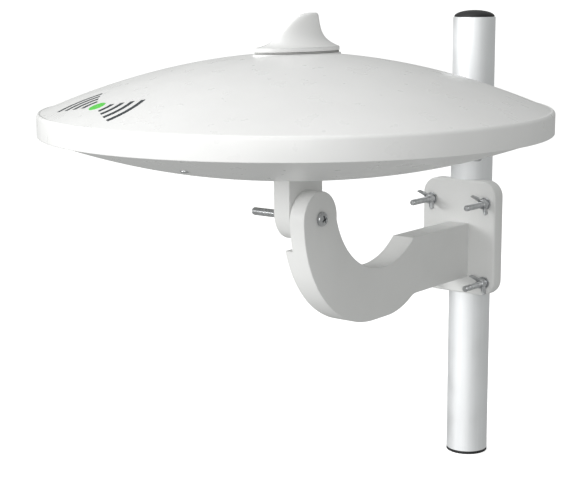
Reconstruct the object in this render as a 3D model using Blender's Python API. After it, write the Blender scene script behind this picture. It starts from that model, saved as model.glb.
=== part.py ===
"""Saucer-shaped dome antenna on a hooked tilt bracket, clamped to a mast by two U-bolts.

Metres, +Z up.  The mast's axis is the Z axis and its foot stands at the origin.  The arm reaches
towards -Y, and the tilt axis runs along X.  Pieces of the dome are modelled about the dome's own
axis, with z = 0 at the bottom edge of its rim.
"""
import bpy
import bmesh
from math import asin, atan2, cos, degrees, hypot, pi, radians, sin, sqrt
from mathutils import Matrix

# Clearances between separate pieces
GAP = 0.0003                  # between faces that rest on each other
HOLE_PLAY = 0.0004            # around a pin, screw or stud, on the radius
SKIRT_PLAY = 0.0005           # between the rim skirt and the lower cover

# Mast
MAST_LENGTH = 0.380
MAST_RADIUS = 0.0175
MAST_WALL = 0.0020
MAST_CAP_RISE = 0.0055        # height of the domed top cap
MAST_CAP_LIP = 0.0008         # edge of the cap that rests on the tube's end
MAST_PLUG_DEPTH = 0.014       # how far either end piece reaches into the tube
MAST_FOOT = 0.0020            # thickness of the foot plug's flange

# Clamp plate
CLAMP_Z = 0.144               # bottom edge of the plate above the mast's foot
PLATE_WIDTH = 0.070
PLATE_HEIGHT = 0.0965
PLATE_THICKNESS = 0.014
PLATE_CORNER = 0.013
GROOVE_WALL = 0.0030          # plate left in front of the mast, at the deepest point of the groove
U_BOLT_SPACING = 0.0518       # between the two legs of one U-bolt
U_BOLT_LOWER = 0.0115         # lower U-bolt above the plate's bottom edge
U_BOLT_UPPER = 0.0785
U_BOLT_RADIUS = 0.0025
U_BOLT_REACH = 0.0315         # thread that stands out in front of the plate

# Wing nuts and washers
WASHER_RADIUS = 0.0052
WASHER_THICKNESS = 0.0010
WING_HUB_RADIUS = 0.0044
WING_HUB_HEIGHT = 0.0058
WING_SPAN = 0.0200
WING_HEIGHT = 0.0115
WING_THICKNESS = 0.0018
WING_ANGLE = 38.0             # degrees that the wings lean from upright, seen from the front

# Arm: beam, hook and ear
BEAM_WIDTH = 0.0200
BEAM_HEIGHT = 0.0455
BEAM_BASE = 0.0150            # underside of the beam above the plate's bottom edge
PIVOT_RISE = 0.0320           # tilt axis above the top of the beam
EAR_RADIUS = 0.0200
EAR_THICKNESS = 0.0128
EAR_NOTCH = 0.0230            # notch floor below the tilt axis
HOOK_RADIUS = 0.0630          # inside of the hook
HOOK_BACK = 0.0805            # hook centre behind the tilt axis
HOOK_RISE = 0.0145            # hook centre above the tilt axis
OUTER_RADIUS = 0.0883         # outside of the hook, towards the dome
HEEL_RADIUS = 0.0700          # outside of the hook, towards the mast
HEEL_FLAT = 0.0185            # level stretch between the two outer arcs
HEEL_FILLET = 0.0150
MAST_CLEARANCE = 0.0465       # between the dome's rim and the mast

# Tilt joint
LUG_THICKNESS = 0.0145
LUG_RADIUS = 0.0200
LUG_ROUND_RISE = 0.0035        # centre of the lug's round end above the tilt axis
LUG_DROP = 0.0377             # tilt axis below the dome's lowest face
LUG_FLANGE_SIDE = 0.0090      # flange inside the dome, past each side of the lug
LUG_FLANGE_END = 0.0015       # and past its front and back
LUG_FLANGE_THICKNESS = 0.0035
PIVOT_SETBACK = 0.0165        # tilt axis behind the dome's axis
PIVOT_BOLT_RADIUS = 0.0030
PIVOT_HEAD_RADIUS = 0.0053
PIVOT_HEAD_HEIGHT = 0.0034
PIVOT_BOLT_OVERHANG = 0.0350  # thread that stands out past the lug
PIVOT_NUT_FLATS = 0.0100
PIVOT_NUT_HEIGHT = 0.0050

# Dome covers
DOME_RADIUS = 0.180
RIM_HEIGHT = 0.0152
RIM_ROUND = 0.0030
CROWN_HEIGHT = 0.0396         # full height of the crown curve above the rim
CROWN_FLAT = 0.0010           # what the flat seat for the fin takes off the top of that curve
CROWN_EXPONENT = 1.92
BOWL_DEPTH = 0.0268
BOWL_FLAT_RADIUS = 0.050
BOWL_EXPONENT = 1.75
COVER_WALL = 0.0026
SKIRT_WALL = 0.0030
LOWER_FLANGE_TOP = 0.0058
SEAL_WIDTH = 0.0045
SEAL_HEIGHT = 0.0022
DOME_SEGMENTS = 40

# Cover screws
COVER_SCREWS = 4
COVER_SCREW_CIRCLE = 0.138
COVER_SCREW_START = 7.6       # degrees from +X to the first screw
COVER_SCREW_RADIUS = 0.0015
COVER_SCREW_LENGTH = 0.0120
COVER_HEAD_RADIUS = 0.0030
COVER_HEAD_HEIGHT = 0.0020
COVER_BOSS_RADIUS = 0.0042
COVER_SEAT = 0.0012           # plastic left under the screw head

# Small screws inside
SMALL_SCREW_RADIUS = 0.0012
SMALL_HEAD_RADIUS = 0.0025
SMALL_HEAD_HEIGHT = 0.0016
SMALL_SCREW_LENGTH = 0.0070
POST_RADIUS = 0.0034

# Fin on the crown
FIN_NOSE_TURN = -19.0          # degrees about the dome's axis, from straight away from the mast
FIN_CENTRE = 0.0020           # middle of the fin's base behind the dome's axis
FIN_LENGTH = 0.0690
FIN_WIDTH = 0.0300
FIN_BASE = 0.0028
FIN_HEIGHT = 0.0236           # above the base
FIN_TOP_LENGTH = 0.0115
FIN_TOP_BACK = 0.0174         # back of the fin's top behind the middle of its base
FIN_TOE = 0.0089              # forward run-out of the nose at the base
FIN_RAKE = 0.0270             # how far the nose leans back over the fin's height
FIN_LEAN = 0.0045             # how far the back leans over the fin's height
FIN_TOE_CURVE = 14            # exponents of the curves between base and top
FIN_BROW_CURVE = 12
FIN_HEEL_CURVE = 5
FIN_FLANK_CURVE = 3.2
FIN_TOP_WIDTH = 0.0056
FIN_WALL = 0.0022
FIN_SEAL_THICKNESS = 0.0008
FIN_SEAT_EDGE = 0.0010        # seat on the crown, past the fin's base
FIN_SEAT_RISE = 0.0004        # seat above the crown's flat top
FIN_SCREW_SPREAD = 0.0235     # each screw from the middle of the base
FIN_SCREW_BITE = 0.0040       # thread of a fin screw inside the fin

# Electronics
BOARD_LENGTH = 0.0900
BOARD_WIDTH = 0.0740
BOARD_THICKNESS = 0.0016
BOARD_Z = -0.0050
BOARD_HOLE_INSET = 0.0060
SHIELD_LENGTH = 0.0420
SHIELD_WIDTH = 0.0320
SHIELD_HEIGHT = 0.0080
SHIELD_WALL = 0.0008
CARRIER_Z = 0.0010
CARRIER_THICKNESS = 0.0025
CARRIER_RING = 0.1220         # middle radius of the outer ring
CARRIER_RING_WIDTH = 0.0140
CARRIER_HUB = 0.0640          # middle radius of the inner ring
CARRIER_HUB_WIDTH = 0.0080
CARRIER_SPOKE_WIDTH = 0.0180
CARRIER_POSTS = 4
CARRIER_POST_ANGLE = 45.0
ELEMENT_THICKNESS = 0.0008
ELEMENT_STEM_WIDTH = 0.0100
ELEMENT_START = 0.0610
ELEMENT_ARC_OUTER = 0.1120
ELEMENT_ARC_WIDTH = 0.0100
ELEMENT_ARC_HALF = 34.0       # degrees either side of the stem
LOOP_WIRE_RADIUS = 0.0015

# Coaxial socket in the underside, beside the lug
SOCKET_X = -0.0350
SOCKET_Y = 0.0480
SOCKET_RADIUS = 0.0047
SOCKET_BORE = 0.0012          # hole for the cable's centre wire
SOCKET_BORE_DEPTH = 0.0090
SOCKET_DROP = 0.0125          # thread below the cover
SOCKET_FLANGE_RADIUS = 0.0070
SOCKET_FLANGE_HEIGHT = 0.0025
SOCKET_TAIL_RADIUS = 0.0030
SOCKET_TAIL_HEIGHT = 0.0040
SOCKET_NUT_FLATS = 0.0130
SOCKET_NUT_HEIGHT = 0.0025
SOCKET_RING_HEIGHT = 0.0012
SOCKET_SPOT = 0.0008          # depth of the flat seat cut for the ring
COAX_RADIUS = 0.0014

# Heights and places that follow
MAST_SEAT = MAST_RADIUS + GAP
PLATE_FRONT = -(MAST_RADIUS + GROOVE_WALL)
PLATE_BACK = PLATE_FRONT + PLATE_THICKNESS
DOME_Y = -(MAST_RADIUS + MAST_CLEARANCE + DOME_RADIUS)
PIVOT_Y = DOME_Y + PIVOT_SETBACK
BEAM_BOTTOM_Z = CLAMP_Z + BEAM_BASE
BEAM_TOP_Z = BEAM_BOTTOM_Z + BEAM_HEIGHT
PIVOT_Z = BEAM_TOP_Z + PIVOT_RISE
EAR_OUTER_X = BEAM_WIDTH / 2
EAR_INNER_X = EAR_OUTER_X - EAR_THICKNESS
LUG_INNER_X = EAR_INNER_X - GAP
LUG_OUTER_X = LUG_INNER_X - LUG_THICKNESS
CROWN_TOP = RIM_HEIGHT + CROWN_HEIGHT - CROWN_FLAT
BOWL_RADIUS = DOME_RADIUS - SKIRT_WALL - SKIRT_PLAY
BOWL_INSIDE_Z = -BOWL_DEPTH + COVER_WALL
LUG_PILOT_FLOOR = BOWL_INSIDE_Z - COVER_WALL * 0.7
SEAL_BOTTOM = LOWER_FLANGE_TOP + GAP
SEAL_TOP = SEAL_BOTTOM + SEAL_HEIGHT
SEAL_LEDGE = SEAL_TOP + GAP
SEAL_SEAT = BOWL_RADIUS - SEAL_WIDTH
BOARD_TOP = BOARD_Z + BOARD_THICKNESS
CARRIER_TOP = CARRIER_Z + CARRIER_THICKNESS
FIN_SEAT_TOP = CROWN_TOP + FIN_SEAT_RISE
FIN_SEAL_BOTTOM = FIN_SEAT_TOP + GAP
FIN_BOTTOM = FIN_SEAL_BOTTOM + FIN_SEAL_THICKNESS + GAP
FIN_SHOULDER = FIN_BOTTOM + FIN_BASE
TINY = 0.00002                # sliver that keeps cutters from ending on a face
ROD_TWIST = 0.3


# ---------------------------------------------------------------- scene and helpers

def clear_scene():
    for item in list(bpy.data.objects):
        bpy.data.objects.remove(item, do_unlink=True)


def finish_for(name, colour, roughness, metallic=0.0):
    """A Principled material with the piece's colour, roughness and metallic value."""
    material = bpy.data.materials.new(name)
    material.use_nodes = True
    shader = material.node_tree.nodes["Principled BSDF"]
    shader.inputs["Base Color"].default_value = (*colour, 1.0)
    shader.inputs["Roughness"].default_value = roughness
    shader.inputs["Metallic"].default_value = metallic
    return material


def empty_at(name, place, parent=None):
    """An empty at a place in its parent's frame."""
    empty = bpy.data.objects.new(name, None)
    bpy.context.scene.collection.objects.link(empty)
    empty.parent = parent
    empty.location = place
    return empty


def object_from(name, mesh_maker, finish, parent, place=(0, 0, 0), turn=(0, 0, 0)):
    """Link one mesh object with its own material, shaded smooth except at sharp edges."""
    mesh = bpy.data.meshes.new(name)
    bmesh.ops.recalc_face_normals(mesh_maker, faces=mesh_maker.faces)
    mesh_maker.to_mesh(mesh)
    mesh_maker.free()
    mesh.shade_smooth()
    mesh.set_sharp_from_angle(angle=radians(35))
    item = bpy.data.objects.new(name, mesh)
    bpy.context.scene.collection.objects.link(item)
    item.parent = parent
    item.location = place
    item.rotation_euler = turn
    if finish is not None:
        item.data.materials.append(finishes[finish].copy())
        item.data.materials[0].name = name
    return item


def tool_from(name, mesh_maker, parent, place=(0, 0, 0), turn=(0, 0, 0)):
    """A cutter or a piece to be joined: left out of the model itself."""
    item = object_from(name, mesh_maker, None, parent, place, turn)
    item.hide_render = True
    item.display_type = "WIRE"
    return item


def repeated(mesh_maker, places):
    """The same shape at several (x, y) places, as one mesh."""
    shape = bpy.data.meshes.new("shape")
    mesh_maker.to_mesh(shape)
    mesh_maker.free()
    gathered = bmesh.new()
    for x, y in places:
        first = len(gathered.verts)
        gathered.from_mesh(shape)
        gathered.verts.ensure_lookup_table()
        bmesh.ops.translate(gathered, verts=gathered.verts[first:], vec=(x, y, 0))
    bpy.data.meshes.remove(shape)
    return gathered


def combine(target, tool, operation):
    step = target.modifiers.new(tool.name, "BOOLEAN")
    step.operation = operation
    step.solver = "EXACT"
    step.object = tool


def cut(target, tool):
    combine(target, tool, "DIFFERENCE")


def join(target, tool):
    combine(target, tool, "UNION")


def arc(centre, radius, start, end, steps):
    """Points along an arc, from one angle to another, in degrees."""
    points = []
    for step in range(steps + 1):
        angle = radians(start + (end - start) * step / steps)
        points.append((centre[0] + radius * cos(angle), centre[1] + radius * sin(angle)))
    return points


def lathe(profile, segments, closed=False, twist=0.0):
    """Turn (radius, z) points about Z.  An open profile starts and ends on the axis.

    The twist, in segments, turns the facets so that a hole's corners miss its neighbours' edges.
    """
    maker = bmesh.new()
    rings = []
    for radius, z in profile:
        if radius < 1e-7:
            rings.append([maker.verts.new((0, 0, z))] * segments)
            continue
        ring = []
        for index in range(segments):
            angle = 2 * pi * (index + twist) / segments
            ring.append(maker.verts.new((radius * cos(angle), radius * sin(angle), z)))
        rings.append(ring)
    pairs = list(zip(rings, rings[1:]))
    if closed:
        pairs.append((rings[-1], rings[0]))
    for lower, upper in pairs:
        for index in range(segments):
            after = (index + 1) % segments
            corners = [lower[index], lower[after], upper[after], upper[index]]
            unique = list(dict.fromkeys(corners))
            if len(unique) > 2:
                maker.faces.new(unique)
    return maker


def prism(outline, low, high, across="Z"):
    """Extrude a flat outline: (x, y) along Z, (y, z) along X, or (x, z) along Y."""
    def place(first, second, level):
        if across == "X":
            return (level, first, second)
        if across == "Y":
            return (first, level, second)
        return (first, second, level)
    maker = bmesh.new()
    bottom = [maker.verts.new(place(a, b, low)) for a, b in outline]
    top = [maker.verts.new(place(a, b, high)) for a, b in outline]
    maker.faces.new(bottom)
    maker.faces.new(list(reversed(top)))
    for index in range(len(outline)):
        after = (index + 1) % len(outline)
        maker.faces.new([bottom[index], bottom[after], top[after], top[index]])
    return maker


def box(low, high):
    outline = [(low[0], low[1]), (high[0], low[1]), (high[0], high[1]), (low[0], high[1])]
    return prism(outline, low[2], high[2])


def rod(radius, low, high, segments=16):
    """A plain cylinder along Z."""
    return lathe([(0, low), (radius, low), (radius, high), (0, high)], segments, twist=ROD_TWIST)


def boss(radius, bore, low, high, depth, from_top=False, segments=8):
    """A cylinder along Z with a blind pilot hole that opens at its bottom, or at its top."""
    profile = [(0, low + depth), (bore, low + depth), (bore, low), (radius, low), (radius, high),
               (0, high)]
    if from_top:
        profile = [(0, low), (radius, low), (radius, high), (bore, high), (bore, high - depth),
                   (0, high - depth)]
    return lathe(profile, segments, twist=ROD_TWIST)


def tube(outer, inner, low, high, segments=12):
    return lathe([(outer, low), (outer, high), (inner, high), (inner, low)], segments, closed=True)


def rounded_rectangle(half_width, low, high, corner, steps=4):
    """Outline from -half_width to half_width and from low to high, with round corners."""
    points = arc((half_width - corner, low + corner), corner, -90, 0, steps)
    points += arc((half_width - corner, high - corner), corner, 0, 90, steps)
    points += arc((-half_width + corner, high - corner), corner, 90, 180, steps)
    points += arc((-half_width + corner, low + corner), corner, 180, 270, steps)
    return points


def hexagon(flats, turned=0.0):
    """Outline of a hexagon by its width across the flats."""
    return arc((0, 0), flats / sqrt(3), turned, turned + 300, 5)


# ---------------------------------------------------------------- shape of the covers

def crown_height(radius):
    """Outer surface of the upper cover at a radius, before the flat seat is taken off."""
    share = radius / (DOME_RADIUS - RIM_ROUND / 2)
    return RIM_HEIGHT + CROWN_HEIGHT * (1 - min(share, 1.0) ** CROWN_EXPONENT)


def bowl_height(radius):
    """Outer surface of the lower cover at a radius."""
    if radius <= BOWL_FLAT_RADIUS:
        return -BOWL_DEPTH
    share = (radius - BOWL_FLAT_RADIUS) / (BOWL_RADIUS - BOWL_FLAT_RADIUS)
    return -BOWL_DEPTH * (1 - share ** BOWL_EXPONENT)


def crown_flat_radius():
    share = (CROWN_FLAT / CROWN_HEIGHT) ** (1 / CROWN_EXPONENT)
    return (DOME_RADIUS - RIM_ROUND / 2) * share


def fin_seat_low():
    """Underside of the fin's seat, a thick pad that reaches through the crown's wall."""
    return crown_height(FIN_CENTRE + FIN_LENGTH / 2 + FIN_SEAT_EDGE) - COVER_WALL


def crown_radii(outermost, steps):
    """Radii from the flat seat to the outermost one, closer together near the rim."""
    start = crown_flat_radius()
    return [start + (outermost - start) * (step / steps) ** 0.8 for step in range(steps + 1)]


# ---------------------------------------------------------------- mast

def make_mast(parent):
    tube_bottom = MAST_FOOT + GAP
    tube_top = MAST_LENGTH - MAST_CAP_RISE
    bore = MAST_RADIUS - MAST_WALL
    object_from("mast_tube", tube(MAST_RADIUS, bore, tube_bottom, tube_top, 36), "mast", parent)
    foot = [(0, 0), (MAST_RADIUS, 0), (MAST_RADIUS, MAST_FOOT), (bore - GAP, MAST_FOOT)]
    foot += [(bore - GAP, MAST_PLUG_DEPTH), (0, MAST_PLUG_DEPTH)]
    object_from("mast_foot_plug", lathe(foot, 24), "black_plastic", parent)
    lip_z = tube_top + GAP
    edge = MAST_RADIUS - MAST_CAP_LIP
    cap = [(0, tube_top - MAST_PLUG_DEPTH), (bore - GAP, tube_top - MAST_PLUG_DEPTH)]
    cap += [(bore - GAP, lip_z), (edge, lip_z)]
    rise = MAST_LENGTH - lip_z
    for step in range(1, 4):
        angle = radians(90 * step / 4)
        cap.append((edge * cos(angle), lip_z + rise * sin(angle)))
    cap.append((0, MAST_LENGTH))
    object_from("mast_top_cap", lathe(cap, 24), "black_plastic", parent)


# ---------------------------------------------------------------- bracket

def hook_angle_at(y_offset):
    """Angle on the hook's inner arc, on its lower half, at an offset from the hook's centre."""
    return degrees(atan2(-sqrt(HOOK_RADIUS ** 2 - y_offset ** 2), y_offset)) % 360


def arm_outline():
    """Side outline of ear, hook and beam as (y, z), measured from the tilt axis."""
    hook = (HOOK_BACK, HOOK_RISE)
    outer = (OUTER_RADIUS - EAR_RADIUS, 0.0)
    heel = (outer[0] + HEEL_FLAT, HEEL_RADIUS - OUTER_RADIUS)
    beam_top = -PIVOT_RISE
    beam_bottom = beam_top - BEAM_HEIGHT
    beam_end = PLATE_FRONT + GROOVE_WALL / 2 - PIVOT_Y
    points = arc((0, 0), EAR_RADIUS, 180, 0, 12)
    hook_start = hook_angle_at(EAR_RADIUS - hook[0])
    hook_end = hook_angle_at(sqrt(HOOK_RADIUS ** 2 - (beam_top - hook[1]) ** 2))
    points += arc(hook, HOOK_RADIUS, hook_start, hook_end, 16)
    points += [(beam_end, beam_top), (beam_end, beam_bottom)]
    fillet_z = beam_bottom - HEEL_FILLET
    reach = HEEL_RADIUS + HEEL_FILLET
    fillet_y = heel[0] + sqrt(reach ** 2 - (fillet_z - heel[1]) ** 2)
    slope = degrees(asin((heel[1] - fillet_z) / reach))
    points += arc((fillet_y, fillet_z), HEEL_FILLET, 90, 180 - slope, 3)
    points += arc(heel, HEEL_RADIUS, -slope, -90, 5)
    points += arc(outer, OUTER_RADIUS, 270, 180, 14)[:-1]
    return points


def make_bracket(parent):
    """Arm and clamp plate in one moulding, with the mast groove and the bolt holes."""
    plate = rounded_rectangle(PLATE_WIDTH / 2, CLAMP_Z, CLAMP_Z + PLATE_HEIGHT, PLATE_CORNER)
    bracket = object_from("bracket", prism(plate, PLATE_FRONT, PLATE_BACK, "Y"), "white", parent)
    groove = rod(MAST_SEAT, CLAMP_Z - TINY, CLAMP_Z + PLATE_HEIGHT + TINY, 36)
    cut(bracket, tool_from("mast_groove", groove, parent))
    arm = [(y + PIVOT_Y, z + PIVOT_Z) for y, z in arm_outline()]
    half = BEAM_WIDTH / 2
    join(bracket, tool_from("arm_body", prism(arm, -half, half, "X"), parent))
    notch_low = (-BEAM_WIDTH, PIVOT_Y - 2 * LUG_RADIUS, PIVOT_Z - EAR_NOTCH)
    notch_high = (EAR_INNER_X, PIVOT_Y + 2 * LUG_RADIUS, PIVOT_Z + 2 * LUG_RADIUS)
    cut(bracket, tool_from("lug_notch", box(notch_low, notch_high), parent))
    side_turn = (0, radians(90), 0)
    hole = rod(PIVOT_BOLT_RADIUS + HOLE_PLAY, -BEAM_WIDTH, BEAM_WIDTH)
    cut(bracket, tool_from("ear_hole", hole, parent, (0, PIVOT_Y, PIVOT_Z), side_turn))
    for name, x, z in stud_places():
        hole = rod(U_BOLT_RADIUS + HOLE_PLAY, -PLATE_THICKNESS, PLATE_THICKNESS)
        place = (x, (PLATE_FRONT + PLATE_BACK) / 2, z)
        cut(bracket, tool_from("hole_" + name, hole, parent, place, (radians(90), 0, 0)))


def stud_places():
    """Name, x and z of each U-bolt leg where it leaves the plate."""
    half = U_BOLT_SPACING / 2
    lower = CLAMP_Z + U_BOLT_LOWER
    upper = CLAMP_Z + U_BOLT_UPPER
    return [("upper_left", -half, upper), ("upper_right", half, upper),
            ("lower_left", -half, lower), ("lower_right", half, lower)]


def make_u_bolt(name, z, parent):
    """Round bar: two threaded legs and a half ring that hugs the back of the mast."""
    half = U_BOLT_SPACING / 2
    bend_y = MAST_RADIUS + GAP + U_BOLT_RADIUS - half
    tip_y = PLATE_FRONT - U_BOLT_REACH
    path = [(-half, tip_y)] + list(reversed(arc((0, bend_y), half, 0, 180, 12))) + [(half, tip_y)]
    maker = bmesh.new()
    sides = 8
    rings = []
    for index, (x, y) in enumerate(path):
        before = path[max(index - 1, 0)]
        after = path[min(index + 1, len(path) - 1)]
        along = atan2(after[1] - before[1], after[0] - before[0])
        ring = []
        for side in range(sides):
            angle = 2 * pi * side / sides
            out = U_BOLT_RADIUS * cos(angle)
            place = (x - out * sin(along), y + out * cos(along), U_BOLT_RADIUS * sin(angle))
            ring.append(maker.verts.new(place))
        rings.append(ring)
    for first, second in zip(rings, rings[1:]):
        for side in range(sides):
            after = (side + 1) % sides
            maker.faces.new([first[side], first[after], second[after], second[side]])
    maker.faces.new(rings[0])
    maker.faces.new(rings[-1])
    object_from(name, maker, "steel", parent, (0, 0, z))


def wing_outline():
    """One wing of a wing nut as (x, height): out of the hub, up, and back to a round lobe."""
    tip = WING_SPAN / 2
    lobe = 0.0032
    root = U_BOLT_RADIUS + 2 * GAP
    points = [(root, 0.0012), (WING_HUB_RADIUS, 0.0012)]
    points += [(tip - lobe, WING_HEIGHT - 2.3 * lobe)]
    points += arc((tip - lobe, WING_HEIGHT - lobe), lobe, -50, 150, 5)
    points += [(WING_HUB_RADIUS * 0.98, WING_HUB_HEIGHT - 0.0004), (root, WING_HUB_HEIGHT - 0.0004)]
    return points


def make_wing_nut(name, axis, parent):
    """Hub with a clear bore and two flared wings; its own Z runs forward along the stud."""
    bore = U_BOLT_RADIUS + GAP
    profile = [(WING_HUB_RADIUS, 0), (WING_HUB_RADIUS * 0.86, WING_HUB_HEIGHT)]
    profile += [(bore, WING_HUB_HEIGHT), (bore, 0)]
    nut = object_from(name, lathe(profile, 12, closed=True), "steel", parent)
    half = WING_THICKNESS / 2
    right = wing_outline()
    left = [(-x, z) for x, z in right]
    for side, outline in (("right", right), ("left", left)):
        wing = prism(outline, -half, half, "Y")
        join(nut, tool_from(name + "_" + side, wing, nut))
    nut.matrix_basis = (Matrix.Translation(axis) @ Matrix.Rotation(radians(90), 4, "X")
                        @ Matrix.Rotation(radians(90 + WING_ANGLE), 4, "Z"))


def make_clamp(parent):
    make_u_bolt("u_bolt_upper", CLAMP_Z + U_BOLT_UPPER, parent)
    make_u_bolt("u_bolt_lower", CLAMP_Z + U_BOLT_LOWER, parent)
    facing = (radians(90), 0, 0)
    for name, x, z in stud_places():
        bore = U_BOLT_RADIUS + GAP
        washer = tube(WASHER_RADIUS, bore, 0, WASHER_THICKNESS)
        washer_y = PLATE_FRONT - GAP
        object_from("washer_" + name, washer, "steel", parent, (x, washer_y, z), facing)
        nut_y = washer_y - WASHER_THICKNESS - GAP
        nut_axis = empty_at("stud_axis_" + name, (x, nut_y, z), parent)
        make_wing_nut("wing_nut_" + name, (0, 0, 0), nut_axis)


# ---------------------------------------------------------------- tilt joint

def make_pivot_bolt(parent):
    """Cross-head bolt along X; its head bears on the ear and its thread passes the lug."""
    head = EAR_OUTER_X + GAP
    tip = LUG_OUTER_X - PIVOT_BOLT_OVERHANG
    profile = [(0, tip), (PIVOT_BOLT_RADIUS, tip), (PIVOT_BOLT_RADIUS, head)]
    profile += [(PIVOT_HEAD_RADIUS, head), (PIVOT_HEAD_RADIUS, head + PIVOT_HEAD_HEIGHT * 0.45)]
    profile += [(PIVOT_HEAD_RADIUS * 0.72, head + PIVOT_HEAD_HEIGHT), (0, head + PIVOT_HEAD_HEIGHT)]
    side_turn = (0, radians(90), 0)
    bolt = object_from("pivot_bolt", lathe(profile, 20), "steel", parent, turn=side_turn)
    arm_length = PIVOT_HEAD_RADIUS * 0.5
    arm_width = PIVOT_HEAD_RADIUS * 0.13
    depth = PIVOT_HEAD_HEIGHT * 0.55
    top = head + PIVOT_HEAD_HEIGHT
    cross = [(arm_length, arm_width), (arm_width, arm_width), (arm_width, arm_length)]
    outline = []
    for quarter in range(4):
        angle = radians(90 * quarter)
        for x, y in cross:
            outline.append((x * cos(angle) - y * sin(angle), x * sin(angle) + y * cos(angle)))
    cut(bolt, tool_from("bolt_cross", prism(outline, top - depth, top + depth), bolt))


def make_pivot_nut(parent):
    """Hexagon nut held in the lug's pocket, so the bolt can be turned from the other side."""
    outer = prism(hexagon(PIVOT_NUT_FLATS, 30), 0, PIVOT_NUT_HEIGHT)
    side_turn = (0, radians(90), 0)
    nut = object_from("pivot_nut", outer, "steel", parent, (LUG_OUTER_X + GAP, 0, 0), side_turn)
    bore = rod(PIVOT_BOLT_RADIUS + GAP, -PIVOT_NUT_HEIGHT, 2 * PIVOT_NUT_HEIGHT)
    cut(nut, tool_from("pivot_nut_bore", bore, nut))


def lug_flange_corners():
    """x range and half depth of the lug's flange, about the tilt axis."""
    return (LUG_OUTER_X - LUG_FLANGE_SIDE, LUG_INNER_X + LUG_FLANGE_SIDE,
            LUG_RADIUS + LUG_FLANGE_END)


def lug_screw_places():
    """Screws through the flange, about the tilt axis."""
    low, high, half = lug_flange_corners()
    inset = LUG_FLANGE_SIDE / 2
    return [(x, y) for x in (low + inset, high - inset) for y in (-0.6 * half, 0.6 * half)]


def make_lug(parent):
    """Tongue under the dome: round end about the tilt bolt, flange inside the lower cover."""
    base = LUG_DROP + COVER_WALL + GAP
    top = base + LUG_FLANGE_THICKNESS
    outline = [(-LUG_RADIUS, base + TINY)] + arc((0, LUG_ROUND_RISE), LUG_RADIUS, 180, 360, 16)
    outline += [(LUG_RADIUS, base + TINY)]
    lug = object_from("pivot_lug", prism(outline, LUG_OUTER_X, LUG_INNER_X, "X"), "white", parent)
    low, high, half = lug_flange_corners()
    flange = box((low, -half, base), (high, half, top))
    join(lug, tool_from("lug_flange", flange, lug))
    side_turn = (0, radians(90), 0)
    hole = rod(PIVOT_BOLT_RADIUS + HOLE_PLAY, LUG_OUTER_X - GAP, LUG_INNER_X + GAP)
    cut(lug, tool_from("lug_hole", hole, lug, turn=side_turn))
    pocket_depth = PIVOT_NUT_HEIGHT + 2 * GAP
    pocket = prism(hexagon(PIVOT_NUT_FLATS + 2 * GAP, 30), -pocket_depth, pocket_depth)
    cut(lug, tool_from("nut_pocket", pocket, lug, (LUG_OUTER_X, 0, 0), side_turn))
    hole = rod(SMALL_SCREW_RADIUS + HOLE_PLAY, base - GAP, top + GAP, 8)
    cut(lug, tool_from("lug_screw_holes", repeated(hole, lug_screw_places()), lug))
    for index, (x, y) in enumerate(lug_screw_places()):
        name = "lug_screw_%d" % (index + 1)
        make_screw(name, parent, (x, y, top + GAP), COVER_WALL / 2 + LUG_FLANGE_THICKNESS)


def make_screw(name, parent, seat, length, upside_down=False):
    """Small pan-head screw whose head rests on the seat and whose shank points down."""
    radius = SMALL_SCREW_RADIUS
    head = SMALL_HEAD_RADIUS
    profile = [(0, -length), (radius, -length), (radius, 0), (head, 0)]
    profile += [(head * 0.7, SMALL_HEAD_HEIGHT), (0, SMALL_HEAD_HEIGHT)]
    turn = (radians(180), 0, 0) if upside_down else (0, 0, 0)
    object_from(name, lathe(profile, 8), "steel", parent, seat, turn)


# ---------------------------------------------------------------- dome covers

def cover_screw_places():
    """Angle, x and y of each screw that holds the two covers together."""
    places = []
    for index in range(COVER_SCREWS):
        angle = radians(COVER_SCREW_START + 360 * index / COVER_SCREWS)
        places.append((COVER_SCREW_CIRCLE * cos(angle), COVER_SCREW_CIRCLE * sin(angle)))
    return places


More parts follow.
